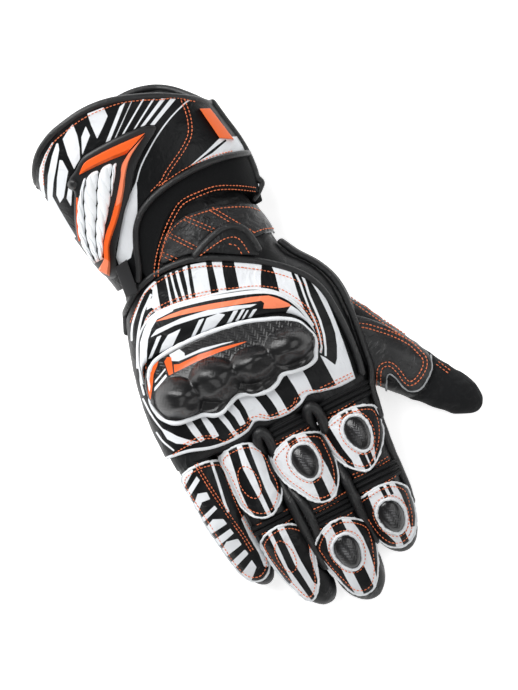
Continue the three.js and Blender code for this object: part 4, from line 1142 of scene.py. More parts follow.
def addStrap():
    c = strapSettings
    angles = evenAngles(hand, 64, -0.75, float(hand.angleAt(-40.0, 64.0)), spread(150, 0.008))
    low = lineOnLoft(hand, strapLow, angles)
    high = np.maximum(lineOnLoft(hand, strapHigh, angles), low + 0.8)
    crumple = lambda q: (c["crumple"] * waves(q * [1.0, 0.6, 1.0], 18, 51)
                         + c["fineCrumple"] * waves(q, 9, 53))
    top, bottom = loftSheet(hand, angles, low, high, spread(46, 0.03), 0.1, c["thickness"], 1.0, crumple)
    addPiece("wrist_strap_leather", slabMesh(top, bottom), leatherSoft, ["wrist_strap"])
    tab = padMesh(tabOutline, (0, 54), onHand, **c["tab"])
    addPiece("strap_tab_pad", tab, leatherBlack, ["strap_tab"])
    piping = rollOn(onHand, tabOutline[:8], 3.8, c["piping"], step=0.8)
    addPiece("strap_tab_piping", piping, weltBlack)
    stitch("cuff", onHand, strapRim, 2.8)
    stitch("cuff", onHand, [(11, 54.4), (18, 53.6), (24, 51.6)], 2.8)
    for row in strapStitches:
        doubleStitch("cuff", onHand, row, 2.75, c["rowGap"])
    for row in tabStitches:
        stitch("cuff", onHand, row, 5.3)
    doubleStitch("cuff", onGauntlet, windowStitch, 0.15, 1.1)
    addPiece("strap_cut_edge", rollOn(onHand, strapCut, 1.9, c["cut"], 8), cutGrey)
    print("strap")


addStrap()


# Printed panel on the back of the hand

padStitch = [
    (-78, 0), (-76, 10), (-72, 20), (-68, 28), (-63, 35), (-58, 38.5), (-50, 39.5), (-40, 38.5), (-30, 36),
    (-20, 33), (-10, 29), (-2, 26), (5, 22), (10, 18), (14, 12), (17, 6), (19, 0), (19, -8), (17, -15),
    (14, -20),
]
panelPrint = [
    [(-52, 51.5), (-53, 53.4), (-47.8, 55), (-50.5, 47), (-53, 38.3), (-57, 38.3), (-56, 41.5), (-57, 43),
     (-60.4, 42.8), (-57, 46.6), (-54, 48)],
    [(-42.4, 55.6), (-40.9, 55.6), (-43.4, 47), (-45.6, 38), (-47.5, 38), (-44.7, 47)],
    [(-39.4, 55.6), (-37.9, 55.6), (-40, 47), (-41.4, 38), (-43.4, 38), (-41.4, 47)],
    [(-36.2, 55), (-34.2, 55), (-36.4, 45), (-37.8, 37), (-39.8, 37), (-38, 47)],
    [(-31.6, 55), (-28.4, 55), (-32, 45), (-34.6, 36), (-36.8, 36), (-34, 45)],
    [(-27, 54.5), (-18.4, 52), (-21, 44), (-24.4, 33), (-33, 35.5), (-30, 45)],
    [(-15.6, 51), (-10.4, 48.4), (-13, 41), (-16, 30.5), (-20.4, 32), (-18, 41)],
    [(-4.2, 47), (9.4, 38), (5, 31), (1.5, 23.5), (-9.4, 28), (-7, 37)],
    [(13, 36.4), (21.4, 28), (20.2, 20), (18.8, 12), (18.3, 4), (16.8, 6), (14, 12), (10, 18), (12.4, 28)],
    [(22.2, 25.5), (23.6, 24.4), (23.5, 18), (22.4, 11), (21.5, 4), (21.1, -4), (19.9, -12), (17.8, -19.6),
     (15.6, -22.6), (14.6, -21.4), (16.9, -18.6), (18.7, -12.6), (19.8, -5), (20.2, 3), (21, 11), (22, 18)],
    [(25, 22.8), (26.5, 21), (26, 16), (24.8, 9), (24.3, 0), (23.8, -6), (22.2, -14), (19.6, -21),
     (17.4, -25.2), (16.3, -24.4), (18.5, -20), (20.9, -13), (22.4, -5), (22.9, 3), (23.4, 10), (24.5, 16)],
    [(14.3, -22.3), (16.6, -25.6), (19.5, -31.4), (22, -28.5), (25, -22.5), (27.4, -15.5), (28.4, -8),
     (28.7, 0), (28.8, 8), (28.4, 14), (27.6, 18.6), (30, 16), (32, 8), (34, -5), (34, -47), (14.8, -47)],
    [(-69.4, -22), (-65.6, -22), (-64.4, -29), (-63.6, -35.8), (-66.6, -36), (-68.4, -30)],
    [(-60.6, -22), (-57.6, -24), (-56, -30), (-55.6, -37.4), (-59.6, -37.4), (-60.2, -30)],
    [(-52, -26), (-48.4, -27), (-47, -33), (-46.6, -38), (-45.2, -42.6), (-48.4, -42.6), (-50, -34)],
    [(-45.2, -26), (-41, -24), (-39.4, -30), (-39.4, -38), (-43, -38), (-43.4, -32)],
    [(-37, -23), (-28.6, -25.6), (-27.2, -31), (-26.2, -37), (-25.8, -44), (-30, -42), (-34, -38.6),
     (-36.6, -37.6), (-36.2, -31)],
    [(-22.6, -27), (-17, -27), (-15.8, -34), (-15.5, -41), (-15.8, -45), (-21, -45), (-20.6, -38),
     (-21.2, -33)],
    [(-7.4, -23), (1.8, -24), (2.3, -31), (2, -40), (-6.2, -40), (-6.4, -32)],
    [(-83, -18), (-79.6, -22.4), (-76.4, -27), (-72.4, -31), (-66.6, -35.6), (-72, -34.6), (-79, -30.5),
     (-82.4, -26)],
]
panelLines = [
    ([(-75, 32), (-73, 36), (-70, 40.3), (-65, 45.3), (-60, 49.6), (-55, 52.8), (-49, 54.8)], 1.3),
    ([(-79, 17), (-77, 21), (-74, 27), (-70, 33.5), (-66, 38.7), (-62, 43), (-58, 46.2), (-54, 49.4)], 1.5),
    ([(-82.6, 2), (-81, 9), (-78.6, 14), (-75.6, 19.5), (-71.6, 26.5), (-67.6, 32.5), (-63.4, 37.6),
      (-59, 40.4), (-55, 41)], 1.3),
    ([(-84.2, 0), (-84.2, -8), (-83.4, -15), (-81.6, -22), (-78, -29), (-72, -34.6)], 1.2),
    ([(-86, -20), (-85, -26), (-82, -33)], 1.2),
]
panelSettings = {
    "rows": 170, "columns": 290, "low": 0.4, "high": 2.1, "roll": 0.8, "edge": 1.7, "puff": 0.28,
    "finePuff": 0.1, "piping": 1.9,
}
bottomLine = [(-83, -37.5), (-75, -37), (-65, -37.5), (-58, -40.5), (-54.5, -44), (-50, -43.5), (-40, -43),
              (-37, -40.5), (-34, -39), (-30, -41.5), (-26, -44.3), (-20, -45), (-12, -45), (-9, -42.5),
              (-6, -40), (-2, -39.5), (3, -41.5), (7, -43.5), (25, -44)]
sideRolls = [(0.2, 2.7), (0.02, 2.4), (-0.16, 2.0)]  # angle round the hand, distance off it
panelEdge = [
    (-81, 37.2), (-73.6, 45), (-66.4, 50.8), (-58, 56), (-45, 58.8), (-30, 57.8), (-19.7, 54.8),
    (-9.6, 49.8), (0.5, 43.9), (10.6, 36.8), (20.8, 27.8), (28.2, 18.4), (32.2, 8.2), (33.6, -5),
    (33.6, -20), (32.4, -34), (30.8, -42),
]


def addPanel():
    c = panelSettings
    angles = evenAngles(hand, 0, 0.64, 1.06 * math.pi, spread(c["columns"], 0.006))
    low = lineOnLoft(hand, panelBottom, angles)
    high = lineOnLoft(hand, panelTop, angles, -1.6)
    puff = lambda q: c["puff"] * waves(q, 26, 61) + c["finePuff"] * waves(q, 10, 63)
    rows = spread(c["rows"], 0.01)
    top, bottom = loftSheet(hand, angles, low, high, rows, c["low"], c["high"], c["roll"], puff)
    shape = slabMesh(top, bottom)
    p = shape[0][:, :2]
    border = c["edge"] - (p[:, 1] - smoothRead(panelBottom, p[:, 0]))
    ink = np.maximum(printOf(p, panelPrint, panelLines), border)
    addPiece("hand_back_panel", shape, printLeather, ["back_panel"], values={"ink": ink})
    edge = rollOn(onHand, panelEdge, 2.2, c["piping"])
    addPiece("panel_piping", edge, weltBlack, ["panel_welt"])
    rolls = []
    for lean, out in sideRolls:
        upper = hand.point(lean, [43, 34, 24, 14, 4, -8, -20, -32, -42], out)
        lower = index.point(lean + 0.1, [-52, -60, -68], out - 0.4)
        path = smoothPath(np.concatenate([upper, lower]), 1.5)
        rolls.append(tubeMesh(path, c["piping"], 10, up=(1, 0, 0)))
    addPiece("side_rolls", joined(rolls), weltBlack, ["side_welt"])
    stitch("back", onHand, sideways(panelEdge[1:9], -4.6), 2.25)
    stitch("back", onHand, sideways(panelEdge[8:12], -4.6), 2.25)
    stitch("back", onHand, np.array(bottomLine) + [0, 2.6], 2.3)
    for few in (bottomLine[9:14], bottomLine[17:19], bottomLine[1:4], bottomLine[5:8]):
        stitch("back", onHand, np.array(few) + [0, 4.4], 2.3)
    print("back panel")


addPanel()


# Knuckle pad and hard knuckle guard

padSettings = {"low": 1.4, "high": 2.4, "crown": 3.0, "welt": 1.35, "edge": 0.9}
knuckleSettings = {
    "low": 2.2, "high": 4.6, "lean": 0.12, "merge": 0.55, "ridge": 2.6, "ripple": 0.05, "flow": 1.2,
}
# x and y of the upper edge, then of the lower edge
padRows = [
    (-80, 8, -79.5, 7), (-76.5, 20, -76, 15.5), (-70, 31.5, -68, 18.3), (-60, 38, -55, 18),
    (-47, 38.5, -41, 17.8), (-31, 35.5, -27, 16.6), (-14, 31, -12, 13.5), (0, 25.5, 0.5, 9.8),
    (10, 17.5, 10, 5.2), (16, 7, 16, -2.6), (18.2, -6, 17.8, -11),
]
padPrint = [
    [(-80, 6), (-77, 18), (-71.5, 28.6), (-66, 34.4), (-60, 38.6), (-52, 39.6), (-45, 39.2), (-47, 35.8),
     (-57, 35.8), (-62, 32.6), (-66.5, 28), (-70, 22.5), (-73, 17), (-76, 10)],
    [(-66.5, 16.6), (-57.5, 17.4), (-52, 21.8), (-47.3, 25.3), (-55.5, 25.5), (-61, 22.2)],
    [(-71.6, 18.3), (-69.4, 18), (-58.4, 27), (-61.6, 27.2)],
    [(-46.3, 17.4), (-43.3, 17.4), (-33, 24.6), (-36.6, 25)],
    [(-40.5, 17), (-31.5, 16.8), (-22, 21), (-25, 23.4), (-32.3, 24)],
    [(-24.3, 16), (-21.3, 15.4), (-14.3, 20), (-17.3, 20.8)],
    [(-19.5, 15), (-17.3, 14.6), (-10.6, 18.8), (-12.8, 19.4)],
    [(-16, 14.2), (-14.5, 13.8), (-9, 17.4), (-10.5, 17.8)],
    [(-12.5, 13.4), (-10.4, 12.8), (-4.6, 15.8), (-7.2, 16.6)],
    [(-65.4, 28.4), (-60, 31), (-45, 30.4), (-30, 27.8), (-15, 23), (-3, 18), (-8, 18.2), (-22, 22.4),
     (-36, 26), (-50, 28.2)],
    [(8, 6.6), (12.6, 9.3), (15, 5), (17.4, -3), (19, -12), (15.6, -12), (15.4, -3), (12, 3)],
]
padLine = [(-62, 37.4), (-50, 38), (-38, 35.9), (-25, 32.6), (-12, 28.5), (-3, 25.2), (4, 21.8), (9, 18),
           (13.6, 12), (16.8, 4), (18, -4)]
orangeBand = [
    (-60, 35.4), (-50, 35.1), (-42, 34.1), (-35, 32.4), (-25, 29.6), (-15, 26.3), (-5, 23.3), (0, 21.3),
    (4, 19.6), (8, 15.8), (12, 10.6), (12.9, 8.4), (8, 9.8), (3, 11.8), (-2.2, 14.4), (-0.2, 16.8),
    (-1, 18.7), (-8, 20.9), (-15, 23.1), (-22, 25.3), (-30, 27.7), (-38, 30.1), (-45, 31.9), (-52, 33.3),
]
knuckleRidge = np.array([[-82, -6], [-66, -4], [-42, -3], [-20, -7], [0, -6], [18, -10]], float)
# x, y, half width, reach to the cuff, reach to the fingers, height
knuckles = [(-66, -8, 13, 12, 13, 9.5), (-44, -7.5, 14.5, 12, 14, 11), (-21.5, -10, 13.5, 10, 11, 9.5),
            (0.5, -9.5, 13.5, 10, 11, 9.5)]
guardOrange = [
    [(-81, -3), (-80, 2), (-77.5, 8), (-74.5, 12), (-70.5, 14.6), (-66.4, 15.2), (-68.6, 12.8),
     (-72.6, 9.4), (-76, 4)],
    [(-65.4, 5), (-62.6, 5), (-59.4, 13.6), (-61.6, 14.8), (-64.2, 13.2)],
    [(-62, 5), (-60.2, 9.5), (-57.5, 8.3), (-45, 8), (-33, 6), (-24, 4), (-15.6, 1.8), (-25, 2.7),
     (-35, 3.9), (-48, 4.9)],
]
guardWhite = [
    [(-60, 15.4), (-53.4, 15.6), (-51.8, 12.2), (-52.5, 10.8), (-42, 10.3), (-30, 7.5), (-20.6, 4.6),
     (-32, 6.8), (-45, 8.8), (-57, 9.6), (-60.4, 11.5)],
    [(-77, 0.6), (-66.4, 5), (-66.2, 6.8), (-75.6, 2.8)],
    [(-74.8, 4.4), (-65.4, 8.6), (-64.8, 10), (-73.6, 6.2)],
]
welt = [
    (-78, 2), (-75.5, 9.5), (-70, 15), (-60, 17), (-45, 17), (-30, 15.5), (-15, 12.5), (-5, 9), (5, 4.5),
    (12, -1), (15, -8), (16, -14), (13, -20), (11, -23.5), (6, -25), (-2, -24.5), (-9, -23), (-14, -26),
    (-20, -27.5), (-27, -26), (-32, -23.5), (-37, -22.5), (-42, -24), (-48, -26.5), (-53, -26), (-58, -23),
    (-65, -22), (-72, -21), (-77, -18), (-80.5, -12), (-81, -4),
]


def addKnucklePad():
    c = padSettings
    rows = np.array(padRows, float)
    profile = lambda t, s: (c["high"] + c["crown"] * np.sqrt(np.clip(1 - (2 * t - 1) ** 2, 0, 1))
                            * np.minimum(1, 6 * np.minimum(s, 1 - s) + 0.3))
    shape = stripMesh(rows[:, :2], rows[:, 2:], onHand, c["low"], profile, 220, 44)
    p = shape[0][:, :2]
    marks = {"ink": printOf(p, padPrint, [(padLine, 2.3)]), "pale": inside(p, orangeBand)}
    addPiece("knuckle_print_pad", shape, printLeather, ["knuckle_pad"],
             values=marks)
    ring = smoothPath(welt, 0.8, closed=True)
    path = onHand(ring[:, 0], ring[:, 1], 4.0)
    ringShape = tubeMesh(path, c["welt"] + 0.09 * waves(path, 3.5, 91), 10, closed=True)
    addPiece("knuckle_white_welt", ringShape, cutEdge, sharp=60)
    doubleStitch("back", onHand, sideways(padStitch, 1.3), 2.3, 0.9)
    addPiece("knuckle_pad_edge", rollOn(onHand, rows[:, :2], 2.6, c["edge"], 8), cutEdge)
    print("knuckle pad")


def addKnuckleGuard():
    c = knuckleSettings
    high = np.vstack([[-81.6, -3], guardHigh, [17, -11.5]])
    low = np.vstack([[-81.6, -3.2], guardLow, [17, -11.7]])
    xs = -81.6 + 98.6 * spread(190, 0.012)
    t = spread(90, 0.02)[:, None]
    y = smoothRead(high, xs)[None] * (1 - t) + smoothRead(low, xs)[None] * t
    x = np.broadcast_to(xs[None], y.shape)
    rise = np.zeros_like(x)
    for cx, cy, wide, up, down, tall in knuckles:
        along = (y - cy) / np.where(y > cy, up, down)
        across = (x - cx + c["lean"] * (y - cy)) / wide
        r = np.abs(across) ** 2.1 + np.abs(along) ** np.where(y > cy, 1.5, 2.2)
        dome = tall * np.clip(1 - r, 0, 1) ** 0.9
        rise = np.log(np.exp(c["merge"] * rise) + np.exp(c["merge"] * dome) - 1) / c["merge"]
    ridge = smoothRead(knuckleRidge, xs)[None]
    middle = smoothStep((70 - np.abs(x + 33)) / 30)
    rise = np.maximum(rise, 0) + c["ridge"] * np.exp(-((y - ridge) / 7) ** 2) * middle
    edge = edgeDistance(onHand(x, y, 3.0))
    flow = np.stack([x, y * 1.6, 0 * x], -1)
    rise = rise * (1 + c["ripple"] * waves(flow, 17, 93))
    rise = rise + c["flow"] * waves(flow, 14, 95) * smoothStep((-10 - y) / 6)
    rise = np.maximum(rise, -0.6) * smoothStep(edge / 4 + 0.2)
    shape = slabMesh(onHand(x, y, c["high"] + rise - rolled(edge, 1.6)), onHand(x, y, c["low"]))
    p = shape[0][:, :2]
    marks = {"ink": printOf(p, guardWhite), "orange": printOf(p, guardOrange)}
    marks["smooth"] = np.maximum(0.85 * smoothStep((5 - p[:, 1] - 0.14 * (p[:, 0] + 55)) / 5),
                                 np.maximum(marks["ink"], marks["orange"]) > -0.5)
    addPiece("knuckle_carbon_guard", shape, carbonGuard, ["knuckle_guard"], values=marks,
             sharp=60)
    print("knuckle guard")


addKnucklePad()
addKnuckleGuard()


# Finger overlays, sliders and ribs

sheet = [(-95, -40), (35, -40), (35, -165), (-95, -165)]
# egg: shape of the carbon slider, oval: a sewn oval, both as x, y, half width and half length
fingerOverlays = [
    {
        "node": "index_armour_base", "loft": index, "centre": (12.5, -72), "egg": (13.5, -71, 6.6, 9.9),
        "outline": [(-4.2, -61), (3.7, -58), (12.9, -56.8), (21, -58), (28.3, -62), (28.8, -69),
                    (26.1, -77), (20.4, -85), (12.2, -91), (6.3, -90.5), (-0.2, -84), (-3.8, -76),
                    (-4.6, -68)],
        "black": [[(-3.4, -57), (0.5, -57), (1.2, -66), (2, -75), (3.6, -83), (3.2, -87.4), (0.6, -84),
                   (-1.5, -75), (-2.6, -66)],
                  bar((9.5, 12.5), (9.5, 12.5), -54, -61), bar((14, 16), (14, 16), -54, -61),
                  [(18.6, -55), (20.4, -62), (20.6, -72), (19, -80), (15.6, -89), (17.6, -89.6), (21, -85),
                   (26.2, -77), (28.4, -69), (28, -62), (23.5, -57)],
                  bar((8.4, 11.4), (8, 11), -82, -93), bar((12.8, 15.2), (11.8, 14.2), -82, -93)],
    },
    {
        "node": "index_armour_tip", "loft": index, "centre": (9.6, -120), "egg": (9.4, -121, 7, 9.4),
        "outline": [(-4.8, -105.5), (2.8, -103.4), (12.3, -102.8), (19.4, -105), (24, -110.5), (23.3, -120),
                    (20.5, -129), (15.1, -136), (7.8, -138.5), (1.6, -136), (-2.5, -130), (-4.8, -121),
                    (-5.2, -112)],
        "black": [[(-4.6, -102), (3, -101), (1.6, -115), (1.2, -125), (4.6, -135), (3, -139), (-1, -134),
                   (-3.4, -126), (-4.2, -116)],
                  bar((10.4, 12.5), (10.4, 12.5), -100, -110), bar((14.4, 16), (14.4, 16), -100, -110),
                  [(19, -102), (19.6, -112), (19, -120), (16.2, -131), (18.2, -131.6), (21, -127),
                   (23.8, -119), (24.6, -110), (22, -104)],
                  bar((8.4, 12), (8, 11.6), -130, -141)],
    },
    {
        "node": "middle_armour_base", "loft": middle, "centre": (-20, -74), "egg": (-19.6, -72, 7, 9.8),
        "outline": [(-35.7, -62), (-28.2, -58), (-19.4, -56.4), (-11.8, -58), (-5, -62), (-4.2, -70),
                    (-4.7, -79), (-7.6, -88), (-12.3, -94.5), (-18.2, -96.5), (-24.6, -94), (-29.9, -86),
                    (-34.6, -77), (-36.4, -69)],
        "black": [bar((-23.5, -18.5), (-23.5, -18.5), -54, -62.5),
                  [(-13, -56), (-11, -65), (-10.4, -72), (-10, -80), (-10.6, -92), (-5, -92), (-2, -79),
                   (-1, -70), (-2, -60)],
                  bar((-21, -15.5), (-22, -16), -83, -98)],
    },
    {
        "node": "middle_armour_tip", "loft": middle, "centre": (-21, -129), "egg": (-21.3, -127.5, 7.1, 9.8),
        "outline": [(-36.2, -117), (-29.3, -111), (-20.5, -108.4), (-12.3, -111), (-4.7, -118),
                    (-4.4, -126), (-7, -135), (-11.1, -144), (-16.5, -151), (-22.5, -153), (-28.5, -150),
                    (-32, -142), (-35.4, -132), (-36.4, -123)],
        "black": [[(-37, -116), (-30, -110), (-29, -115), (-31, -122), (-30.5, -128), (-29, -133),
                   (-29, -140), (-28.5, -150), (-30.5, -148), (-33, -135), (-36.2, -123)],
                  bar((-23, -16.5), (-23, -16.5), -106, -116),
                  [(-12.4, -109), (-10.5, -118), (-10, -124), (-10.5, -132), (-12, -141), (-13.6, -148),
                   (-9, -146), (-3, -130), (-1, -118), (-6, -111)],
                  bar((-24, -17), (-24, -17.6), -138, -156)],
    },
    {
        "node": "ring_armour_base", "loft": ring, "centre": (-50, -68), "oval": (-52.5, -68, 5.3, 9.6),
        "outline": [(-60.8, -48.5), (-50.3, -46.8), (-41.8, -49.5), (-37.1, -57), (-37, -67), (-37.5, -77),
                    (-42.3, -85), (-50.1, -89.5), (-57.4, -87), (-62, -80), (-62.6, -70), (-61.7, -58)],
        "black": [[(-54.6, -45), (-49.6, -45), (-52.4, -60), (-52.3, -70), (-52, -80), (-52.2, -91),
                   (-57, -91), (-59.5, -80), (-59, -70), (-57, -60)],
                  [(-46.6, -45), (-43.2, -45), (-44.4, -55), (-45.4, -65), (-46.4, -75), (-47, -91),
                   (-49.6, -91), (-49, -75), (-48, -65), (-47.5, -55)],
                  [(-38.6, -52), (-35, -55), (-35, -82), (-39, -84), (-41, -80), (-41.5, -72),
                   (-39.6, -62)]],
    },
    {
        "node": "ring_armour_tip", "loft": ring, "centre": (-50.6, -117), "oval": (-53.4, -114, 4.8, 9.5),
        "outline": [(-62, -101), (-52.5, -97.2), (-43.4, -99), (-37.5, -105), (-36.9, -114), (-40.3, -126),
                    (-44.4, -136), (-49.6, -142), (-53.9, -141), (-57.7, -131), (-61.4, -120),
                    (-62.9, -110)],
        "black": [[(-62, -97), (-56.6, -96), (-57, -110), (-57, -120), (-56.6, -128), (-59, -129),
                   (-60.4, -120), (-61.8, -110)],
                  [(-54, -95), (-50.5, -95), (-50.5, -110), (-51, -120), (-50, -130), (-49, -143),
                   (-51.6, -143), (-53.5, -130), (-55, -120), (-54.5, -110)],
                  [(-46.5, -95), (-40, -96), (-37, -104), (-38, -112), (-41.4, -120), (-43, -130),
                   (-44, -137), (-46, -134), (-46.8, -120)]],
    },
    {
        "node": "little_panel", "loft": little, "centre": (-74, -82),
        "outline": [(-85.4, -50), (-78.9, -46.8), (-69.2, -47.2), (-61.8, -51), (-62.2, -62), (-62.8, -75),
                    (-62.8, -90), (-61.8, -104), (-63.4, -114), (-70.1, -119.5), (-77.1, -117),
                    (-80.8, -108), (-83, -95), (-84.8, -80), (-85.4, -65)],
    },
]
littleSeam = [(-74.2, -46), (-74, -52), (-73.2, -62), (-72, -72), (-70.8, -82), (-69.4, -92), (-68.6, -102)]
littlePrint = [
    [(-87, -49), (-79, -45), (-77, -48), (-87, -55)],
    [(-87, -57.5), (-77, -51.5), (-76.4, -54.5), (-87, -61)],
    [(-87, -66), (-81, -60.5), (-76, -62), (-76, -66.5), (-81, -66), (-87, -71.5)],
    [(-87, -74), (-75.5, -70.5), (-75, -73), (-87, -77)],
    [(-87, -80), (-80, -77), (-74.6, -79.5), (-74, -83), (-87, -84.5)],
    [(-87, -88), (-73.6, -86), (-73, -89.4), (-86, -92.6)],
    [(-86, -96), (-79, -91.6), (-72.4, -93), (-72, -97), (-86, -100)],
    [(-85, -104), (-71.6, -100), (-71, -103.4), (-84, -108)],
    [(-83, -113), (-71, -107), (-70.4, -112), (-78, -119)],
    [(-62, -82), (-66, -84), (-66.6, -95), (-66, -106), (-66.8, -114), (-61, -116), (-60, -90)],
]
littleLine = ([(-65.6, -45), (-67, -54), (-68.6, -64), (-70, -72), (-70.4, -77)], 1.7)
overlaySettings = {
    "pad": {"low": 0.2, "high": 2.6, "crown": 1.0, "roll": 1.1, "rings": 40, "step": 0.6},
    "reach": 0.955, "crease": 0.14, "edge": 0.8, "stitchIn": 2.2, "seamGap": 0.8,
}
sliderSettings = {
    "dome": {"low": 2.4, "high": 4.4, "crown": 3.2, "roll": 1.2, "rings": 20, "step": 0.6},
    "edge": 0.95, "edgeOut": 0.7, "stitchOut": 2.5,
}
ribSettings = {"pitch": 2.9, "side": 0.1, "low": 0.7, "rise": 1.5, "under": -0.4}
# node, finger, from and to y
ribRows = [
    ("index_ribs_base", index, -55.4, -46.6), ("index_ribs_middle", index, -102.2, -92.6),
    ("middle_ribs_base", middle, -55.6, -46.6), ("middle_ribs_middle", middle, -108.4, -97.6),
    ("ring_ribs_middle", ring, -96.8, -90.8),
]
# finger, left, right, y of each row, height
ribStitches = [
    (index, 3, 19, (-54.4, -56.2), 1.9), (index, 1, 22, (-90.6, -92.6), 0.6),
    (index, 1, 21, (-102.2,), 1.6), (middle, -29, -10, (-54.4, -56.2), 1.9),
    (middle, -33, -8, (-97.4, -99.6), 1.4), (middle, -31, -10, (-107.4, -109.2), 1.6),
    (ring, -59, -41, (-91.4, -97.2), 1.2),
]


def edgeLine(surface, path, low, radius, closed=True):
    path = smoothPath(path, 0.6, closed)
    line = surface(path[:, 0], path[:, 1], low)
    line = line + 0.16 * np.stack([waves(line, 4, 97), waves(line, 4, 98), 0 * line[:, 0]], -1)
    return tubeMesh(line, radius * (1 + 0.16 * waves(line, 2.4, 99)), 8, closed=closed)


def addSlider(one, surface, turn):
    c = sliderSettings
    cx, cy, wide, long = one["egg"]
    egg = np.stack([wide * np.cos(turn) * (1 + 0.14 * np.sin(turn)), long * np.sin(turn)], -1)
    dome = padMesh(egg + [cx, cy], (cx, cy), surface, **c["dome"])
    reach = np.linalg.norm((dome[0][:, :2] - [cx, cy]) / [wide, long], axis=1)
    name, stoodFor = [one["node"].replace("armour", word) for word in ("carbon_slider", "slider")]
    addPiece(name, dome, carbonPlain, [stoodFor],
             values={"smooth": 0.9 * smoothStep(reach * 1.15 - 0.1)}, sharp=60)
    wider = lambda out: egg * [1 + out / wide, 1 + out / long] + [cx, cy]
    stitch("fingers", surface, wider(c["stitchOut"])[::4], 3.5, closed=True)
    return edgeLine(surface, wider(c["edgeOut"]), 3.5, c["edge"])


def addOverlays():
    c = overlaySettings
    edges = []
    turn = fullTurn(40)
    crease = creases(c["crease"], 9, 71, 6)
    for one in fingerOverlays:
        surface = lambda x, y, off, loft=one["loft"]: loft.above(x, y, off, c["reach"])
        shape = padMesh(one["outline"], one["centre"], surface, **c["pad"], lift=crease)
        p = shape[0][:, :2]
        if "black" in one:
            ink = printOf(p, [sheet], (), one["black"])
        else:
            ink = printOf(p, littlePrint, [littleLine])
        name = one["node"].replace("armour", "overlay")
        addPiece(name + "_print", shape, printLeather, [one["node"]],
                 values={"ink": ink})
        edges.append(edgeLine(surface, one["outline"], 1.8, c["edge"]))
        rim = np.array(one["outline"], float)
        mid = np.array(one["centre"], float)
        inner = mid + (rim - mid) * (1 - c["stitchIn"] / np.linalg.norm(rim - mid, axis=1))[:, None]
        stitch("fingers", surface, inner, 2.95, closed=True)
        if "egg" in one:
            edges.append(addSlider(one, surface, turn))
        elif "oval" in one:
            cx, cy, wide, long = one["oval"]
            oval = np.stack([cx + wide * np.cos(turn), cy + long * np.sin(turn)], -1)
            stitch("fingers", surface, oval[::4], 3.7, closed=True)
    addPiece("overlay_cut_edges", joined(edges), cutEdge)
    doubleStitch("fingers", little.above, littleSeam, 3.5, c["seamGap"])
    print("finger overlays")


def addRibs():
    c = ribSettings
    for name, loft, low, high in ribRows:
        angles = evenAngles(loft, (low + high) / 2, c["side"], math.pi - c["side"], spread(60, 0.03))
        y = np.linspace(low, high, 60)[:, None]
        count = max(2, round((high - low) / c["pitch"]))
        wave = np.abs(np.sin((y - low) / (high - low) * count * math.pi))
        flat = loft.point(angles[None], y, 1.0)
        offset = c["low"] + c["rise"] * wave ** 0.7 - 0.5 * rolled(edgeDistance(flat), 1.0)
        shape = slabMesh(loft.point(angles[None], y, offset), loft.point(angles[None], y, c["under"]))
        addPiece(name.replace("_ribs", "_stretch_ribs"), shape, ribbedFabric, [name])
    for loft, left, right, rows, off in ribStitches:
        for y in rows:
            bow = [(left, y + 0.3), ((left + right) / 2, y - 0.4), (right, y + 0.3)]
            stitch("fingers", loft.above, bow, off)
    print("ribs")


addOverlays()
addRibs()


# Rolled welts between the fingers

loopRadius = 3.1
weltLoops = [
    [(-38.4, -57, 39), (-38.2, -51, 44.5), (-37, -47.2, 48), (-34.8, -45.8, 49), (-32.8, -47.4, 48.6),
     (-31.8, -52.6, 46.6), (-32.6, -61, 42)],
    [(-7.4, -58, 39), (-7.2, -51.6, 44.5), (-6, -47.4, 48), (-3.8, -45.8, 49), (-1.8, -47.4, 48.6),
     (-0.6, -52.4, 46.6), (-1.4, -61, 42)],
]
# path (x, y, z) and radius
gapRolls = [
    ([(-4.2, -60, 33), (-4.2, -75, 33), (-4.2, -86, 36), (-4.2, -94, 38), (-4.6, -104, 35.6),
      (-5, -112, 30), (-5, -120, 25), (-4.8, -128, 21)], 3.2),
    ([(-36.6, -58, 34), (-36.9, -70, 34), (-36.8, -80, 36.4), (-36.8, -90, 38), (-36.8, -102, 35),
      (-36.8, -110, 31), (-36.4, -119, 26), (-35.6, -128, 22)], 3.3),
    ([(-34, -82, 37), (-31.8, -90, 40.8), (-30.9, -99, 40.6), (-31.2, -106, 37.4), (-32.2, -112, 32.6),
      (-33.4, -118, 27)], 2.7),
    ([(-61.8, -54, 33), (-62.2, -68, 32), (-62.4, -82, 29.5), (-62, -96, 26), (-61, -108, 22)], 2.6),
    ([(28, -58, 33), (27.6, -70, 32), (26, -82, 30), (25, -94, 27.5), (24.4, -106, 24), (22.6, -118, 20)],
     2.8),
]


def addFingerWelts():
    loops = [tubeMesh(smoothPath(path, 0.8), loopRadius, 14) for path in weltLoops]
    addPiece("finger_crotch_welts", joined(loops), weltBlack)
    rolls = []
    for path, radius in gapRolls:
        path = smoothPath(path, 1.0)
        rolls.append(tubeMesh(path, radius * (1 + 0.04 * waves(path, 9, 101)), 14))
    addPiece("finger_gap_rolls", joined(rolls), weltBlack)
    print("finger welts")


addFingerWelts()


# Thumb patch

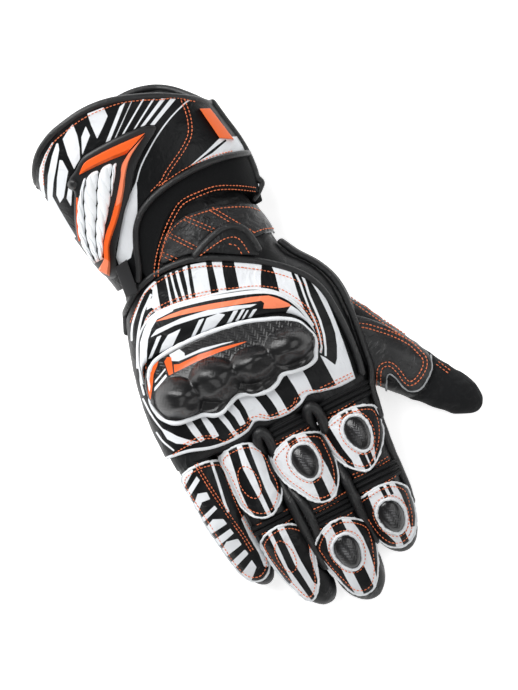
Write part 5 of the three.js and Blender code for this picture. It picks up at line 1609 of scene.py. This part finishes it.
patchSettings = {
    "pad": {"low": 0.3, "high": 2.2, "crown": 0.3, "roll": 0.9, "rings": 40, "step": 0.8},
    "crease": 0.5, "rowGap": 2.2, "cut": 0.6,
}
patchOutline = [
    (5.4, -7), (8.8, -14), (10.6, -26), (11, -36), (10.2, -46), (9, -53.5), (6.5, -58.6), (1.5, -61.9),
    (-5.8, -62.6), (-11.9, -61), (-15.2, -57.2), (-14.9, -53), (-12.7, -47.2), (-11.9, -43.5),
    (-12.7, -42), (-14.4, -41.8), (-18.5, -43.4), (-19.6, -41), (-18, -33.5), (-11.2, -21.4), (-3.5, -12),
]
patchEdge = [
    (69.5, -51), (66, -58), (60, -63), (55, -65), (50, -63.5), (48, -60), (46.5, -54), (45, -50.5),
    (43.5, -49.8), (42, -50.5), (40, -54), (38.5, -57),
]
patchStitch = [
    (40, -16), (45, -19), (50, -23.5), (55, -28.5), (60, -34.5), (63.5, -40), (65.5, -46), (66.5, -51),
    (64.5, -55.5), (60, -59), (55, -61), (51, -60.5), (49, -57), (48.3, -52), (46.5, -46.5), (43.5, -45),
    (41, -46), (38.5, -50), (37, -53),
]
thumbSeam = [(44, -3), (50, -14), (56, -25), (61, -34)]
thumbTack = [(71, -57), (74, -63)]


def addThumb():
    c = patchSettings
    outline = fromThumb(np.array([(x, y, 0) for x, y in patchOutline], float))[:, :2]
    centre = fromThumb(np.array([0.5, -34.4, 0]))[:2]
    crease = creases(c["crease"], 15, 81, 3)
    shape = padMesh(outline, centre, onThumb, **c["pad"], lift=crease)
    addPiece("thumb_leather_patch", shape, leatherSoft, ["thumb_patch"])
    rim = edgeLine(onThumb, patchEdge, 1.6, c["cut"], False)
    addPiece("thumb_patch_cut_edge", rim, cutGrey)
    for gap in (0, c["rowGap"]):
        stitch("thumb", onThumb, sideways(patchStitch, -gap), 2.95)
    doubleStitch("thumb", onThumb, thumbSeam, 2.7, 0.9)
    doubleStitch("thumb", onThumb, thumbTack, 0.4)
    print("thumb")


addThumb()


# Stitches: one Geometry Nodes tree lays a long bead at each step along the rows

# in mm, named like the modifier's inputs
stitchSettings = {"Pitch": 2.15, "Length": 1.7, "Thickness": 0.32, "Seed": 7}


def stitchTree():
    tree = bpy.data.node_groups.new("Stitch Row", "GeometryNodeTree")
    face = tree.interface
    face.new_socket("Geometry", in_out="INPUT", socket_type="NodeSocketGeometry")
    sockets = {}
    for label, kind in (("Pitch", "Float"), ("Length", "Float"), ("Thickness", "Float"), ("Seed", "Int"),
                        ("Thread", "Material")):
        sockets[label] = face.new_socket(label, in_out="INPUT", socket_type="NodeSocket" + kind).identifier
    face.new_socket("Geometry", in_out="OUTPUT", socket_type="NodeSocketGeometry")
    given = tree.nodes.new("NodeGroupInput").outputs
    result = tree.nodes.new("NodeGroupOutput").inputs
    curve = wire(tree, "GeometryNodeMeshToCurve", {"Mesh": given["Geometry"]})
    laid = node(tree, "GeometryNodeCurveToPoints", {"Curve": curve, "Length": given["Pitch"]}, mode="LENGTH")
    laid = laid.outputs
    bead = wire(tree, "GeometryNodeMeshUVSphere", {"Segments": 6, "Rings": 4, "Radius": 1.0})
    half = calc(tree, "MULTIPLY", given["Length"], 0.5)
    size = wire(tree, "ShaderNodeCombineXYZ", {0: given["Thickness"], 1: given["Thickness"], 2: half})
    vary = node(tree, "FunctionNodeRandomValue", {2: 0.85, 3: 1.12, "Seed": given["Seed"]}, data_type="FLOAT")
    vary = vary.outputs[1]
    size = wire(tree, "ShaderNodeVectorMath", {0: size, "Scale": vary}, operation="SCALE")
    laidOut = {"Points": laid["Points"], "Instance": bead, "Rotation": laid["Rotation"], "Scale": size}
    beads = wire(tree, "GeometryNodeInstanceOnPoints", laidOut)
    real = wire(tree, "GeometryNodeRealizeInstances", {"Geometry": beads})
    done = wire(tree, "GeometryNodeSetMaterial", {"Geometry": real, "Material": given["Thread"]})
    smooth = wire(tree, "GeometryNodeSetShadeSmooth", {"Geometry": done})
    tree.links.new(smooth, result["Geometry"])
    return tree, sockets


def addStitches():
    tree, sockets = stitchTree()
    for region, lines in stitchRows.items():
        points = np.concatenate(lines)
        edges, start = [], 0
        for line in lines:
            edges += [(start + k, start + k + 1) for k in range(len(line) - 1)]
            start += len(line)
        mesh = bpy.data.meshes.new(region)
        mesh.from_pydata(place(points).tolist(), edges, [])
        rows = newObject(region, mesh)
        modifier = rows.modifiers.new("Stitches", "NODES")
        modifier.node_group = tree
        for label, value in stitchSettings.items():
            modifier[sockets[label]] = value if label == "Seed" else value * mm
        modifier[sockets["Thread"]] = threadOrange
        done = bakedMesh(rows, region + "_stitches")
        addObject(done, threadOrange)
        print("stitches", region, len(done.polygons))


addStitches()


# Floor, lights and camera

studio = {
    "lookAt": (-13.2, -2.5, 35), "distance": 6000, "tall": 383.3, "turn": -27,
    "world": 0.12, "floor": 0.66, "floorHalf": 3.0,
    "lights": [  # name, offset in m from the point looked at, width, energy
        ("Key", (-0.45, 1.15, 1.2), 1.2, 26.0), ("Fill", (1.0, -0.5, 1.1), 1.3, 9.0),
        ("Rim", (-0.5, -1.1, 1.0), 1.1, 5.0), ("Top", (-0.3, 0.5, 1.5), 0.3, 1.6),
        ("Side", (-0.8, 1.35, 0.5), 1.0, 14.0),
    ],
}


def addStudio():
    floorMesh = bpy.data.meshes.new("floor")
    corner = studio["floorHalf"]
    square = [(-corner, -corner, 0), (corner, -corner, 0), (corner, corner, 0), (-corner, corner, 0)]
    floorMesh.from_pydata(square, [], [(0, 1, 2, 3)])
    floor = newObject("floor", floorMesh)
    pale = material("Pale Floor", (0.9, 0.9, 0.9), 0.8, Emission_Color=(1, 1, 1, 1),
                    Emission_Strength=studio["floor"])[0]
    floorMesh.materials.append(pale)
    world = bpy.data.worlds.new("Studio")
    scene.world = world
    world.use_nodes = True
    sky = world.node_tree.nodes["Background"].inputs
    sky["Color"].default_value = (1, 1, 1, 1)
    sky["Strength"].default_value = studio["world"]
    middlePoint = place([studio["lookAt"]])[0]
    for name, offset, size, energy in studio["lights"]:
        light = bpy.data.lights.new(name, "AREA")
        light.shape = "DISK"
        light.size = size
        light.energy = energy
        lamp = newObject(name, light)
        lamp.location = [middlePoint[k] + offset[k] for k in range(3)]
        away = lamp.location - Vector(middlePoint)
        lamp.rotation_euler = away.to_track_quat("Z", "Y").to_euler()
    camera = bpy.data.cameras.new("Camera")
    camera.sensor_fit = "VERTICAL"
    camera.sensor_height = 36
    camera.lens = 36 * studio["distance"] / studio["tall"]
    camera.clip_end = 20
    eye = newObject("Camera", camera)
    eye.location = (middlePoint[0], middlePoint[1], middlePoint[2] + studio["distance"] * mm)
    eye.rotation_euler = (0, 0, math.radians(studio["turn"]))
    scene.camera = eye
    scene.view_settings.view_transform = "Standard"
    print("studio")


addStudio()
